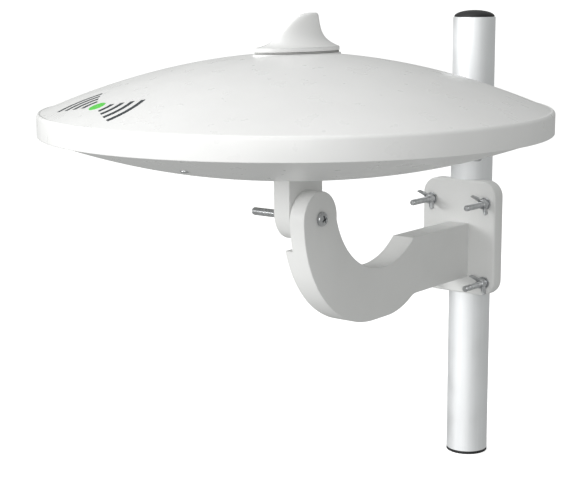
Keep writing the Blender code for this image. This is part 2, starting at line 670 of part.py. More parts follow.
def make_upper_cover(parent, fin_axis):
    """Crown and rim skirt in one shell, with bosses for the cover screws and the fin's seat."""
    inner_skirt = DOME_RADIUS - SKIRT_WALL
    round_centre = (DOME_RADIUS - RIM_ROUND, RIM_HEIGHT - RIM_ROUND * 0.6)
    outside = [(r, min(crown_height(r), CROWN_TOP))
               for r in crown_radii(DOME_RADIUS - RIM_ROUND, 8)]
    corner = arc(round_centre, RIM_ROUND, 50, 0, 3)
    inside_radii = crown_radii(SEAL_SEAT, 5)
    inside = [(r, min(crown_height(r), CROWN_TOP) - COVER_WALL) for r in reversed(inside_radii)]
    profile = [(0, CROWN_TOP)] + outside + corner
    profile += [(DOME_RADIUS, 0), (inner_skirt, 0), (inner_skirt, SEAL_LEDGE), (SEAL_SEAT, SEAL_LEDGE)]
    profile += inside + [(0, CROWN_TOP - COVER_WALL)]
    cover = object_from("upper_cover", lathe(profile, DOME_SEGMENTS), "white", parent)
    seat = prism(fin_oval(FIN_SEAT_EDGE), fin_seat_low(), FIN_SEAT_TOP)
    join(cover, tool_from("fin_seat", seat, fin_axis, (0, FIN_CENTRE, 0)))
    boss_bottom = bowl_height(COVER_SCREW_CIRCLE - COVER_BOSS_RADIUS) + COVER_WALL
    boss_bottom = max(boss_bottom, bowl_height(COVER_SCREW_CIRCLE + COVER_BOSS_RADIUS) + COVER_WALL)
    boss_bottom += GAP
    boss_top = crown_height(COVER_SCREW_CIRCLE) - COVER_WALL / 2
    pillar = boss(COVER_BOSS_RADIUS, COVER_SCREW_RADIUS + GAP, boss_bottom, boss_top,
                  COVER_SCREW_LENGTH)
    join(cover, tool_from("cover_bosses", repeated(pillar, cover_screw_places()), parent))
    hole = rod(SMALL_SCREW_RADIUS + HOLE_PLAY, fin_seat_low() - GAP, FIN_SEAT_TOP + GAP, 10)
    places = [(0, y) for y in fin_screw_places()]
    cut(cover, tool_from("fin_screw_holes", repeated(hole, places), fin_axis))


def make_lower_cover(parent):
    """Shallow bowl with an upright edge, a slot for the lug, and posts for what it carries."""
    steps = 6
    radii = [BOWL_FLAT_RADIUS + (BOWL_RADIUS - BOWL_FLAT_RADIUS) * i / steps for i in range(steps + 1)]
    inner_edge = BOWL_RADIUS - COVER_WALL
    inside_radii = [r for r in radii if r < inner_edge] + [inner_edge]
    outside = [(r, bowl_height(r)) for r in radii]
    inside = [(r, bowl_height(r) + COVER_WALL) for r in reversed(inside_radii)]
    profile = [(0, -BOWL_DEPTH)] + outside + [(BOWL_RADIUS, LOWER_FLANGE_TOP)]
    profile += [(inner_edge, LOWER_FLANGE_TOP)] + inside + [(0, BOWL_INSIDE_Z)]
    cover = object_from("lower_cover", lathe(profile, DOME_SEGMENTS), "white", parent)
    half = LUG_RADIUS + GAP
    slot_low = (LUG_OUTER_X - GAP, PIVOT_SETBACK - half, -BOWL_DEPTH - COVER_WALL)
    slot_high = (LUG_INNER_X + GAP, PIVOT_SETBACK + half, BOWL_INSIDE_Z + COVER_WALL)
    cut(cover, tool_from("lug_slot", box(slot_low, slot_high), parent))
    pilot = rod(SMALL_SCREW_RADIUS + GAP, LUG_PILOT_FLOOR, BOWL_INSIDE_Z + GAP, 8)
    places = [(x, y + PIVOT_SETBACK) for x, y in lug_screw_places()]
    cut(cover, tool_from("lug_pilots", repeated(pilot, places), parent))
    cut(cover, tool_from("cover_holes", repeated(cover_screw_hole(), cover_screw_places()), parent))
    add_posts(cover, "board_posts", board_screw_places(), BOARD_Z - GAP, parent)
    add_posts(cover, "carrier_posts", carrier_post_places(), CARRIER_Z - GAP, parent)
    socket = (SOCKET_X, SOCKET_Y, 0)
    hole = rod(SOCKET_RADIUS + HOLE_PLAY, -BOWL_DEPTH - COVER_WALL, BOWL_INSIDE_Z + COVER_WALL, 20)
    cut(cover, tool_from("socket_hole", hole, parent, socket))
    spot = rod(SOCKET_FLANGE_RADIUS + 2 * GAP, -BOWL_DEPTH - COVER_WALL, socket_seat(), 24)
    cut(cover, tool_from("socket_spot", spot, parent, socket))
    inner = rod(SOCKET_FLANGE_RADIUS + 2 * GAP, socket_inner_seat(), BOWL_INSIDE_Z + 2 * COVER_WALL, 24)
    cut(cover, tool_from("socket_inner_spot", inner, parent, socket))


def cover_screw_seat():
    """Height of the sunk face that the head of a cover screw bears on."""
    return bowl_height(COVER_SCREW_CIRCLE) + COVER_WALL - COVER_SEAT


def cover_screw_hole():
    """Stepped hole: wide for the head up to the seat, then close around the shank."""
    seat = cover_screw_seat()
    wide = COVER_HEAD_RADIUS + HOLE_PLAY
    narrow = COVER_SCREW_RADIUS + HOLE_PLAY
    low = seat - COVER_WALL * 3
    high = seat + COVER_WALL * 3
    profile = [(0, low), (wide, low), (wide, seat), (narrow, seat), (narrow, high), (0, high)]
    return lathe(profile, 12, twist=ROD_TWIST)


def add_posts(cover, name, places, top, parent):
    """Moulded posts that rise from inside the lower cover, each with a screw pilot."""
    foot = bowl_height(hypot(*places[0])) + COVER_WALL / 2
    post = boss(POST_RADIUS, SMALL_SCREW_RADIUS + GAP, foot, top, SMALL_SCREW_LENGTH, from_top=True)
    join(cover, tool_from(name, repeated(post, places), parent))


def socket_seat():
    """Height of the flat that the socket's ring and nut tighten against, from below."""
    return -BOWL_DEPTH + SOCKET_SPOT


def socket_inner_seat():
    return BOWL_INSIDE_Z + SOCKET_SPOT / 2


def make_cover_screws(parent):
    seat = cover_screw_seat() - GAP
    radius = COVER_SCREW_RADIUS
    head = COVER_HEAD_RADIUS
    length = COVER_SCREW_LENGTH
    profile = [(0, length), (radius, length), (radius, 0), (head, 0)]
    profile += [(head * 0.7, -COVER_HEAD_HEIGHT), (0, -COVER_HEAD_HEIGHT)]
    for index, (x, y) in enumerate(cover_screw_places()):
        name = "cover_screw_%d" % (index + 1)
        object_from(name, lathe(profile, 8), "steel", parent, (x, y, seat))


def make_rim_seal(parent):
    inner = SEAL_SEAT + GAP
    outer = BOWL_RADIUS
    seal = tube(outer, inner, SEAL_BOTTOM, SEAL_TOP, DOME_SEGMENTS)
    object_from("rim_seal", seal, "rubber", parent)


# ---------------------------------------------------------------- fin

def fin_oval(extra=0.0, steps=28):
    """Outline of the fin's base about its own middle."""
    half_width = FIN_WIDTH / 2 + extra
    half_length = FIN_LENGTH / 2 + extra
    return [(half_width * cos(2 * pi * i / steps), half_length * sin(2 * pi * i / steps))
            for i in range(steps)]


def fin_screw_places():
    """Where the two fin screws are along the fin, from the dome's axis."""
    return [FIN_CENTRE - FIN_SCREW_SPREAD, FIN_CENTRE + FIN_SCREW_SPREAD]


def fin_section(share, inset=0.0):
    """Front, back and half width of the fin at a share of its height."""
    foot = 1 - share
    toe = -FIN_LENGTH / 2 + FIN_TOE
    brow = FIN_TOP_BACK - FIN_TOP_LENGTH - FIN_RAKE - toe
    front = toe - FIN_TOE * foot ** FIN_TOE_CURVE + FIN_RAKE * share + brow * share ** FIN_BROW_CURVE
    heel = FIN_LENGTH / 2 - FIN_TOP_BACK - FIN_LEAN
    back = FIN_TOP_BACK + FIN_LEAN * foot + heel * foot ** FIN_HEEL_CURVE
    half = FIN_TOP_WIDTH / 2 + (FIN_WIDTH - FIN_TOP_WIDTH) / 2 * foot ** FIN_FLANK_CURVE
    return front + inset, back - inset, half - inset


def fin_loft(shares, levels, inset=0.0, steps=24):
    maker = bmesh.new()
    rings = []
    for share, z in zip(shares, levels):
        front, back, half = fin_section(share, inset)
        middle = (front + back) / 2
        reach = (back - front) / 2
        ring = []
        for index in range(steps):
            angle = 2 * pi * index / steps
            ring.append(maker.verts.new((half * cos(angle), middle + reach * sin(angle), z)))
        rings.append(ring)
    for lower, upper in zip(rings, rings[1:]):
        for index in range(steps):
            after = (index + 1) % steps
            maker.faces.new([lower[index], lower[after], upper[after], upper[index]])
    maker.faces.new(rings[0])
    maker.faces.new(rings[-1])
    return maker


def make_fin(parent):
    """Shark-fin cover: oval base, swept body, a cavity from below and two screw pilots."""
    body_shares = [0.0, 0.05, 0.14, 0.3, 0.5, 0.75, 0.9, 1.0]
    shares = [0.0] + body_shares
    levels = [FIN_BOTTOM] + [FIN_SHOULDER + FIN_HEIGHT * share for share in body_shares]
    place = (0, FIN_CENTRE, 0)
    fin = object_from("fin", fin_loft(shares, levels), "white", parent, place)
    hollow_shares = [0.3, 0.45, 0.62]
    hollow = bmesh.new()
    outline = []
    for share in hollow_shares:
        front, back, half = fin_section(share, FIN_WALL)
        outline.append((front, back, half, FIN_SHOULDER + FIN_HEIGHT * share))
    front, back, half, _ = outline[0]
    outline.insert(0, (front, back, half, FIN_BOTTOM - GAP))
    rings = []
    for front, back, half, z in outline:
        rings.append([hollow.verts.new((x, y, z)) for x, y in
                      ((-half / 2, front), (half / 2, front), (half, (front + back) / 2),
                       (half / 2, back), (-half / 2, back), (-half, (front + back) / 2))])
    for lower, upper in zip(rings, rings[1:]):
        for index in range(6):
            after = (index + 1) % 6
            hollow.faces.new([lower[index], lower[after], upper[after], upper[index]])
    hollow.faces.new(rings[0])
    hollow.faces.new(rings[-1])
    cut(fin, tool_from("fin_hollow", hollow, fin))
    pilot = rod(SMALL_SCREW_RADIUS + GAP, FIN_BOTTOM - GAP, FIN_BOTTOM + FIN_SCREW_BITE + GAP, 8)
    places = [(0, y) for y in fin_screw_places()]
    cut(fin, tool_from("fin_pilots", repeated(pilot, places), parent))
    seal = object_from("fin_seal", prism(fin_oval(-GAP), FIN_SEAL_BOTTOM,
                                         FIN_SEAL_BOTTOM + FIN_SEAL_THICKNESS),
                       "rubber", parent, place)
    opening = prism(fin_oval(-0.008), FIN_SEAL_BOTTOM - GAP, FIN_BOTTOM + GAP)
    cut(seal, tool_from("fin_seal_opening", opening, seal))
    screw_length = FIN_BOTTOM - fin_seat_low() + FIN_SCREW_BITE
    for index, y in enumerate(fin_screw_places()):
        seat = (0, y, fin_seat_low() - GAP)
        make_screw("fin_screw_%d" % (index + 1), parent, seat, screw_length, upside_down=True)


# ---------------------------------------------------------------- electronics

def board_screw_places():
    x = BOARD_WIDTH / 2 - BOARD_HOLE_INSET
    y = BOARD_LENGTH / 2 - BOARD_HOLE_INSET
    return [(x, y), (-x, y), (-x, -y), (x, -y)]


def carrier_post_places():
    places = []
    for index in range(CARRIER_POSTS):
        angle = radians(CARRIER_POST_ANGLE + 360 * index / CARRIER_POSTS)
        places.append((CARRIER_RING * cos(angle), CARRIER_RING * sin(angle)))
    return places


def make_board(parent):
    outline = rounded_rectangle(BOARD_WIDTH / 2, -BOARD_LENGTH / 2, BOARD_LENGTH / 2, 0.003, 2)
    board = object_from("circuit_board", prism(outline, BOARD_Z, BOARD_TOP), "board", parent)
    hole = rod(SMALL_SCREW_RADIUS + HOLE_PLAY, BOARD_Z - GAP, BOARD_TOP + GAP, 8)
    cut(board, tool_from("board_holes", repeated(hole, board_screw_places()), parent))
    for index, (x, y) in enumerate(board_screw_places()):
        name = "board_screw_%d" % (index + 1)
        make_screw(name, parent, (x, y, BOARD_TOP + GAP), SMALL_SCREW_LENGTH)
    low = BOARD_TOP + GAP
    outer = box((-SHIELD_WIDTH / 2, -SHIELD_LENGTH / 2, low),
                (SHIELD_WIDTH / 2, SHIELD_LENGTH / 2, low + SHIELD_HEIGHT))
    shield = object_from("amplifier_shield", outer, "steel", parent)
    wall = SHIELD_WALL
    inner = box((wall - SHIELD_WIDTH / 2, wall - SHIELD_LENGTH / 2, low - wall),
                (SHIELD_WIDTH / 2 - wall, SHIELD_LENGTH / 2 - wall, low + SHIELD_HEIGHT - wall))
    cut(shield, tool_from("shield_inside", inner, shield))


def make_carrier(parent):
    """Plastic frame that holds the aerial elements: two rings joined by four spokes."""
    half_ring = CARRIER_RING_WIDTH / 2
    half_hub = CARRIER_HUB_WIDTH / 2
    ring = tube(CARRIER_RING + half_ring, CARRIER_RING - half_ring, CARRIER_Z, CARRIER_TOP, 32)
    carrier = object_from("element_carrier", ring, "black_plastic", parent)
    hub = tube(CARRIER_HUB + half_hub, CARRIER_HUB - half_hub, CARRIER_Z, CARRIER_TOP, 24)
    join(carrier, tool_from("carrier_hub", hub, parent))
    half_spoke = CARRIER_SPOKE_WIDTH / 2
    for index in range(4):
        spoke = box((CARRIER_HUB, -half_spoke, CARRIER_Z + TINY),
                    (CARRIER_RING, half_spoke, CARRIER_TOP - TINY))
        turn = (0, 0, radians(90 * index))
        join(carrier, tool_from("carrier_spoke_%d" % (index + 1), spoke, parent, turn=turn))
    hole = rod(SMALL_SCREW_RADIUS + HOLE_PLAY, CARRIER_Z - GAP, CARRIER_TOP + GAP, 8)
    cut(carrier, tool_from("carrier_holes", repeated(hole, carrier_post_places()), parent))
    for index, (x, y) in enumerate(carrier_post_places()):
        name = "carrier_screw_%d" % (index + 1)
        make_screw(name, parent, (x, y, CARRIER_TOP + GAP), SMALL_SCREW_LENGTH)


def make_elements(parent):
    """Four T-shaped dipole arms of thin sheet, lying on the carrier's spokes."""
    half_stem = ELEMENT_STEM_WIDTH / 2
    inner = ELEMENT_ARC_OUTER - ELEMENT_ARC_WIDTH
    stem_angle = degrees(asin(half_stem / inner))
    outline = [(ELEMENT_START, -half_stem)]
    outline += arc((0, 0), inner, -stem_angle, -ELEMENT_ARC_HALF, 5)
    outline += arc((0, 0), ELEMENT_ARC_OUTER, -ELEMENT_ARC_HALF, ELEMENT_ARC_HALF, 10)
    outline += arc((0, 0), inner, ELEMENT_ARC_HALF, stem_angle, 5)
    outline += [(ELEMENT_START, half_stem)]
    low = CARRIER_TOP + GAP
    for index, side in enumerate(("right", "back", "left", "front")):
        arm = prism(outline, low, low + ELEMENT_THICKNESS)
        turn = (0, 0, radians(90 * index))
        object_from("dipole_arm_" + side, arm, "copper", parent, turn=turn)


def make_loop(parent):
    """Wire ring that lies on the carrier's outer ring, inside its screws."""
    radius = CARRIER_RING - CARRIER_RING_WIDTH / 2 + LOOP_WIRE_RADIUS
    centre = (radius, CARRIER_TOP + GAP + LOOP_WIRE_RADIUS)
    section = arc(centre, LOOP_WIRE_RADIUS, 0, 300, 5)
    wire = lathe(section, 32, closed=True)
    object_from("fm_loop", wire, "copper", parent)


def make_socket(parent):
    """Coaxial socket through the lower cover, with its sealing ring, nut and inner lead."""
    place = (SOCKET_X, SOCKET_Y, 0)
    seat = socket_inner_seat() + GAP
    bottom = -BOWL_DEPTH - SOCKET_DROP
    flange_top = seat + SOCKET_FLANGE_HEIGHT
    tail_top = flange_top + SOCKET_TAIL_HEIGHT
    profile = [(0, bottom + SOCKET_BORE_DEPTH), (SOCKET_BORE, bottom + SOCKET_BORE_DEPTH)]
    profile += [(SOCKET_BORE, bottom), (SOCKET_RADIUS, bottom), (SOCKET_RADIUS, seat)]
    profile += [(SOCKET_FLANGE_RADIUS, seat), (SOCKET_FLANGE_RADIUS, flange_top)]
    profile += [(SOCKET_TAIL_RADIUS, flange_top), (SOCKET_TAIL_RADIUS, tail_top), (0, tail_top)]
    object_from("coax_socket", lathe(profile, 20), "brass", parent, place)
    ring_top = socket_seat() - GAP
    ring_low = ring_top - SOCKET_RING_HEIGHT
    ring = tube(SOCKET_NUT_FLATS / 2, SOCKET_RADIUS + GAP, ring_low, ring_top, 20)
    object_from("socket_ring", ring, "rubber", parent, place)
    nut_top = ring_low - GAP
    nut_low = nut_top - SOCKET_NUT_HEIGHT
    nut = object_from("socket_nut", prism(hexagon(SOCKET_NUT_FLATS), nut_low, nut_top),
                      "brass", parent, place)
    bore = rod(SOCKET_RADIUS + GAP, nut_low - GAP, nut_top + GAP, 20)
    cut(nut, tool_from("socket_nut_bore", bore, nut))
    make_inner_lead(parent, tail_top + GAP)


def make_inner_lead(parent, low):
    """Short lead from the socket's tail up to the underside of the board."""
    high = BOARD_Z - GAP
    end = (-BOARD_WIDTH / 4, BOARD_LENGTH / 2 - 2 * COAX_RADIUS)
    route = bpy.data.curves.new("inner_lead", "CURVE")
    route.dimensions = "3D"
    route.bevel_depth = COAX_RADIUS
    route.bevel_resolution = 2
    route.use_fill_caps = True
    route.resolution_u = 1
    spline = route.splines.new("POLY")
    steps = 12
    spline.points.add(steps)
    for step in range(steps + 1):
        share = step / steps
        bend = min(max((share - 0.12) / 0.76, 0.0), 1.0)
        ease = bend * bend * (3 - 2 * bend)
        x = SOCKET_X + (end[0] - SOCKET_X) * ease
        y = SOCKET_Y + (end[1] - SOCKET_Y) * ease
        spline.points[step].co = (x, y, low + (high - low) * share, 1)
    lead = bpy.data.objects.new("inner_lead", route)
    bpy.context.scene.collection.objects.link(lead)
    lead.parent = parent
    route.materials.append(finishes["black_plastic"].copy())
    route.materials[0].name = "inner_lead"


# ---------------------------------------------------------------- assembly

def make_finishes():
    return {
        "white": finish_for("white", (0.80, 0.80, 0.79), 0.38),
        "mast": finish_for("mast", (0.66, 0.67, 0.68), 0.34, 1.0),
        "steel": finish_for("steel", (0.58, 0.59, 0.60), 0.30, 1.0),
        "black_plastic": finish_for("black_plastic", (0.012, 0.012, 0.013), 0.5),
        "rubber": finish_for("rubber", (0.03, 0.03, 0.03), 0.75),
        "copper": finish_for("copper", (0.72, 0.43, 0.29), 0.35, 1.0),
        "brass": finish_for("brass", (0.74, 0.63, 0.40), 0.32, 1.0),
        "board": finish_for("board", (0.03, 0.16, 0.07), 0.45),
    }


def build():
    mast_axis = empty_at("mast_axis", (0, 0, 0))
    swivel = empty_at("swivel_axis", (0, 0, 0), mast_axis)
    tilt = empty_at("tilt_axis", (0, PIVOT_Y, PIVOT_Z), swivel)
    dome = empty_at("dome_axis", (0, -PIVOT_SETBACK, LUG_DROP + BOWL_DEPTH), tilt)
    fin_axis = empty_at("fin_axis", (0, 0, 0), dome)
    fin_axis.rotation_euler = (0, 0, radians(FIN_NOSE_TURN))
    make_mast(mast_axis)
    make_bracket(swivel)
    make_clamp(swivel)
    make_pivot_bolt(tilt)
    make_pivot_nut(tilt)
    make_lug(tilt)
    make_upper_cover(dome, fin_axis)
    make_lower_cover(dome)
    make_cover_screws(dome)
    make_rim_seal(dome)
    make_fin(fin_axis)
    make_board(dome)
    make_carrier(dome)
    make_elements(dome)
    make_loop(dome)
    make_socket(dome)


clear_scene()
finishes = make_finishes()
build()
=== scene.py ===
"""Looks for the saucer dome antenna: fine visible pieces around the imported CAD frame.

Metres, +Z up, in the frame's own coordinates.  Places come from the frame's boxes; the covers'
curves repeat the CAD part's formulas.
"""

import bpy
import bmesh
from math import asin, atan2, cos, degrees, hypot, pi, radians, sin, sqrt
from mathutils import Matrix, Vector


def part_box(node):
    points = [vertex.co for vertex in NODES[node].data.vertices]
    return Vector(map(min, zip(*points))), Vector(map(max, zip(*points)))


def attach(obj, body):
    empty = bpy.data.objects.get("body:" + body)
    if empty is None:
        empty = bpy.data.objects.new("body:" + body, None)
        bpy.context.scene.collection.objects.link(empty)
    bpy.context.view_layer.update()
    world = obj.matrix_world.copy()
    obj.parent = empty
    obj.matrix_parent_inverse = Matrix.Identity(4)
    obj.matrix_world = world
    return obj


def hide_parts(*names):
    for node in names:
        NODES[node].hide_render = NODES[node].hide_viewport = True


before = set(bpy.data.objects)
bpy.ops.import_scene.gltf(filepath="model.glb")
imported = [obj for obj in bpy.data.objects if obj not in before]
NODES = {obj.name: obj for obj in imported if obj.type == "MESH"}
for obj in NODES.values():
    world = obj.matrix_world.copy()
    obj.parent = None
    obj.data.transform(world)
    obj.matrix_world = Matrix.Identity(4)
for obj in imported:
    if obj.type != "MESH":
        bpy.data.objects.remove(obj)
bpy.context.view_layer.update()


def middle(node):
    low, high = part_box(node)
    return (low + high) / 2


# -------------------------------------------------------- sizes taken from the frame

MAST_LOW, MAST_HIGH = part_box("mast_tube")
MAST_RADIUS = MAST_HIGH.x
COVER_LOW, COVER_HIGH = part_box("upper_cover")
BOWL_LOW, BOWL_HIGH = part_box("lower_cover")
FIN_LOW, FIN_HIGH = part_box("fin")
LUG_LOW, LUG_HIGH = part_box("pivot_lug")
BRACKET_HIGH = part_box("bracket")[1]
BOLT_LOW, BOLT_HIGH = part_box("pivot_bolt")
DOME_RADIUS = (COVER_HIGH.x - COVER_LOW.x) / 2
DOME_AXIS = Vector((0, (COVER_LOW.y + COVER_HIGH.y) / 2, 0))
PIVOT = Vector((0, middle("pivot_bolt").y, middle("pivot_bolt").z))

# The covers' curves, with z = 0 at the bottom of the rim
RIM_HEIGHT = 0.0152
RIM_ROUND = 0.0030
CROWN_HEIGHT = 0.0396
CROWN_FLAT = 0.0010
CROWN_EXPONENT = 1.92
BOWL_DEPTH = 0.0268
RIM_Z = BOWL_LOW.z + BOWL_DEPTH
BOWL_FLAT_RADIUS = 0.050
BOWL_EXPONENT = 1.75
COVER_WALL = 0.0026
SKIRT_WALL = 0.0030
BOWL_RADIUS = (BOWL_HIGH.x - BOWL_LOW.x) / 2
BOWL_EDGE_TOP = 0.0058
SEAL_LEDGE = 0.0086
SEAL_SEAT = BOWL_RADIUS - 0.0045
DOME_SEGMENTS = 192
FIN_SEAT_TOP = RIM_HEIGHT + CROWN_HEIGHT - CROWN_FLAT + 0.0004
COVER_SCREW_CIRCLE = hypot(middle("cover_screw_1").x, middle("cover_screw_1").y - DOME_AXIS.y)
COVER_SCREW_RECESS = 0.0034
COVER_SEAT = 0.0012
GAP = 0.0003                  # between neighbours
SMALL_HEAD = 0.0016           # height of the small screws' heads
LUG_FLANGE_SIDE = 0.0090      # how far the lug's flange stands out at its two ends
LUG_FLANGE_LIP = 0.0015       # and along its sides
LUG_FLANGE_THICK = 0.0035
SAME_POINT = 0.00002          # points closer than this are one point

FIN_TURN = Matrix.Rotation(radians(-19.0), 4, "Z")   # nose, about the dome's axis
FIN_CENTRE = 0.0020
FIN_LENGTH = 0.0690
FIN_WIDTH = 0.0300
FIN_BASE = 0.0028
FIN_HEIGHT = FIN_HIGH.z - FIN_LOW.z - FIN_BASE
FIN_TOP_LENGTH = 0.0115
FIN_TOP_BACK = 0.0174
FIN_TOP_WIDTH = 0.0056
FIN_TOE = 0.0089
FIN_RAKE = 0.0270
FIN_LEAN = 0.0045
FIN_SEAT_EDGE = 0.0010
FIN_TOE_CURVE = 14
FIN_BROW_CURVE = 12
FIN_HEEL_CURVE = 5
FIN_FLANK_CURVE = 3.2
FIN_BODY = 0.90               # share of the fin's height below its rounded top


# -------------------------------------------------------- mesh helpers

def piece(name, maker, body, materials, sharp=35, move=(0, 0, 0), nodes=()):
    """Link a mesh, shade it smooth except at sharp edges, and tie it to its CAD body."""
    mesh = bpy.data.meshes.new(name)
    bmesh.ops.recalc_face_normals(maker, faces=maker.faces)
    maker.to_mesh(mesh)
    maker.free()
    mesh.transform(Matrix.Translation(move))
    item = bpy.data.objects.new(name, mesh)
    bpy.context.scene.collection.objects.link(item)
    for material in materials:
        mesh.materials.append(material)
    mesh.shade_smooth()
    mesh.set_sharp_from_angle(angle=radians(sharp))
    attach(item, body)
    if nodes:
        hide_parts(*nodes)
    return item


def arc(centre, radius, start, end, steps):
    points = []
    for step in range(steps + 1):
        angle = radians(start + (end - start) * step / steps)
        points.append((centre[0] + radius * cos(angle), centre[1] + radius * sin(angle)))
    return points


def lathe(profile, segments, closed=False):
    """Turn (radius, z) points about Z; an open profile starts and ends on the axis."""
    maker = bmesh.new()
    rings = []
    for radius, z in profile:
        if radius < 1e-7:
            rings.append([maker.verts.new((0, 0, z))] * segments)
            continue
        rings.append([maker.verts.new((radius * cos(2 * pi * i / segments),
                                       radius * sin(2 * pi * i / segments), z))
                      for i in range(segments)])
    pairs = list(zip(rings, rings[1:]))
    if closed:
        pairs.append((rings[-1], rings[0]))
    for lower, upper in pairs:
        for index in range(segments):
            after = (index + 1) % segments
            corners = list(dict.fromkeys([lower[index], lower[after], upper[after], upper[index]]))
            if len(corners) > 2:
                maker.faces.new(corners)
    return maker


def cylinder(radius, low, high, segments):
    return lathe([(0, low), (radius, low), (radius, high), (0, high)], segments)


def shifted(maker, x, y, z=0.0):
    bmesh.ops.translate(maker, verts=maker.verts, vec=(x, y, z))
    return maker


def skin(maker, rings):
    """Faces all the way round between each ring of vertices and the next."""
    for lower, upper in zip(rings, rings[1:]):
        for index in range(len(lower)):
            after = (index + 1) % len(lower)
            maker.faces.new([lower[index], lower[after], upper[after], upper[index]])


def moved_in(outline, inset):
    """A closed outline with every side moved inwards by the same distance."""
    following = outline[1:] + outline[:1]
    area = sum(a[0] * b[1] - b[0] * a[1] for a, b in zip(outline, following))
    inward = 1 if area > 0 else -1
    moved = []
    for before, point, after in zip(outline[-1:] + outline[:-1], outline, following):
        first = Vector((point[0] - before[0], point[1] - before[1])).normalized()
        second = Vector((after[0] - point[0], after[1] - point[1])).normalized()
        side = Vector((-first.y, first.x)) * inward
        normal = (side + Vector((-second.y, second.x)) * inward).normalized()
        reach = inset / max(normal.dot(side), 0.3)
        moved.append((point[0] + normal.x * reach, point[1] + normal.y * reach))
    return moved


def prism(outline, low, high, across="Z", bevel=0.0, segments=3):
    """Extrude an outline; with a bevel, inset rings round the edge at each end."""
    def place(first, second, level):
        if across == "X":
            return (level, first, second)
        if across == "Y":
            return (first, level, second)
        return (first, second, level)
    outline = [point for point, before in zip(outline, outline[-1:] + outline[:-1])
               if hypot(point[0] - before[0], point[1] - before[1]) > SAME_POINT]
    levels = [(low, 0.0), (high, 0.0)]
    if bevel:
        quarter = [radians(90 * step / segments) for step in range(segments + 1)]
        levels = [(low + bevel * (1 - cos(a)), bevel * (1 - sin(a))) for a in quarter]
        levels += [(high - bevel * (1 - cos(a)), bevel * (1 - sin(a))) for a in reversed(quarter)]
    maker = bmesh.new()
    rings = [[maker.verts.new(place(a, b, level)) for a, b in moved_in(outline, inset)]
             for level, inset in levels]
    caps = [maker.faces.new(rings[0]), maker.faces.new(list(reversed(rings[-1])))]
    skin(maker, rings)
    bmesh.ops.triangulate(maker, faces=caps)
    return maker


def rounded_rectangle(half_width, low, high, corner, steps=10):
    points = arc((half_width - corner, low + corner), corner, -90, 0, steps)
    points += arc((half_width - corner, high - corner), corner, 0, 90, steps)
    points += arc((-half_width + corner, high - corner), corner, 90, 180, steps)
    points += arc((-half_width + corner, low + corner), corner, 180, 270, steps)
    return points


def turned(maker, matrix):
    bmesh.ops.transform(maker, matrix=matrix, verts=maker.verts)
    return maker


def gathered(*makers):
    """One mesh from several."""
    whole = bmesh.new()
    for maker in makers:
        mesh = bpy.data.meshes.new("part")
        maker.to_mesh(mesh)
        maker.free()
        whole.from_mesh(mesh)
        bpy.data.meshes.remove(mesh)
    return whole


def solid_result(base, steps):
    """Apply Boolean steps of (operation, tool mesh) to a mesh and give the result."""
    def loose(name, maker):
        mesh = bpy.data.meshes.new(name)
        bmesh.ops.recalc_face_normals(maker, faces=maker.faces)
        maker.to_mesh(mesh)
        maker.free()
        item = bpy.data.objects.new(name, mesh)
        bpy.context.scene.collection.objects.link(item)
        return item
    target = loose("target", base)
    tools = []
    for index, (operation, maker) in enumerate(steps):
        tool = loose("tool_%d" % index, maker)
        tools.append(tool)
        step = target.modifiers.new("step_%d" % index, "BOOLEAN")
        step.operation = operation
        step.solver = "EXACT"
        step.object = tool
    bpy.context.view_layer.update()
    graph = bpy.context.evaluated_depsgraph_get()
    mesh = bpy.data.meshes.new_from_object(target.evaluated_get(graph))
    result = bmesh.new()
    result.from_mesh(mesh)
    bpy.data.meshes.remove(mesh)
    for item in tools + [target]:
        bpy.data.objects.remove(item, do_unlink=True)
    return result


AXIS_X = Matrix.Rotation(radians(90), 4, "Y")      # local +Z to world +X
AXIS_FRONT = Matrix.Rotation(radians(90), 4, "X")  # local +Z to world -Y


# -------------------------------------------------------- materials

NOISE_LOW = 0.3               # most of a noise texture's values lie between these two
NOISE_HIGH = 0.7


def new_material(name):
    material = bpy.data.materials.new(name)
    material.use_nodes = True
    return material, material.node_tree.nodes, material.node_tree.links


def noise(nodes, links, scale, detail=4.0, stretch=None):
    """Noise over the object's own coordinates, stretched along an axis if asked."""
    texture = nodes.new("ShaderNodeTexNoise")
    texture.inputs["Scale"].default_value = scale
    texture.inputs["Detail"].default_value = detail
    place = nodes.new("ShaderNodeTexCoord")
    if stretch is None:
        links.new(place.outputs["Object"], texture.inputs["Vector"])
        return texture
    mapping = nodes.new("ShaderNodeMapping")
    mapping.inputs["Scale"].default_value = stretch
    links.new(place.outputs["Object"], mapping.inputs["Vector"])
    links.new(mapping.outputs["Vector"], texture.inputs["Vector"])
    return texture


def spread(nodes, links, source, low, high):
    """Map a texture's value onto a range."""
    ranged = nodes.new("ShaderNodeMapRange")
    ranged.inputs["From Min"].default_value = NOISE_LOW
    ranged.inputs["From Max"].default_value = NOISE_HIGH
    ranged.inputs["To Min"].default_value = low
    ranged.inputs["To Max"].default_value = high
    links.new(source, ranged.inputs["Value"])
    return ranged.outputs["Result"]


def tint(nodes, links, source, dark, light):
    ramp = nodes.new("ShaderNodeValToRGB")
    ramp.color_ramp.elements[0].position = NOISE_LOW
    ramp.color_ramp.elements[0].color = (*dark, 1)
    ramp.color_ramp.elements[1].position = NOISE_HIGH
    ramp.color_ramp.elements[1].color = (*light, 1)
    links.new(source, ramp.inputs["Fac"])
    return ramp.outputs["Color"]


def bump_from(nodes, links, source, strength, distance, chain=None):
    bump = nodes.new("ShaderNodeBump")
    bump.inputs["Strength"].default_value = strength
    bump.inputs["Distance"].default_value = distance
    links.new(source, bump.inputs["Height"])
    if chain is not None:
        links.new(chain, bump.inputs["Normal"])
    return bump.outputs["Normal"]


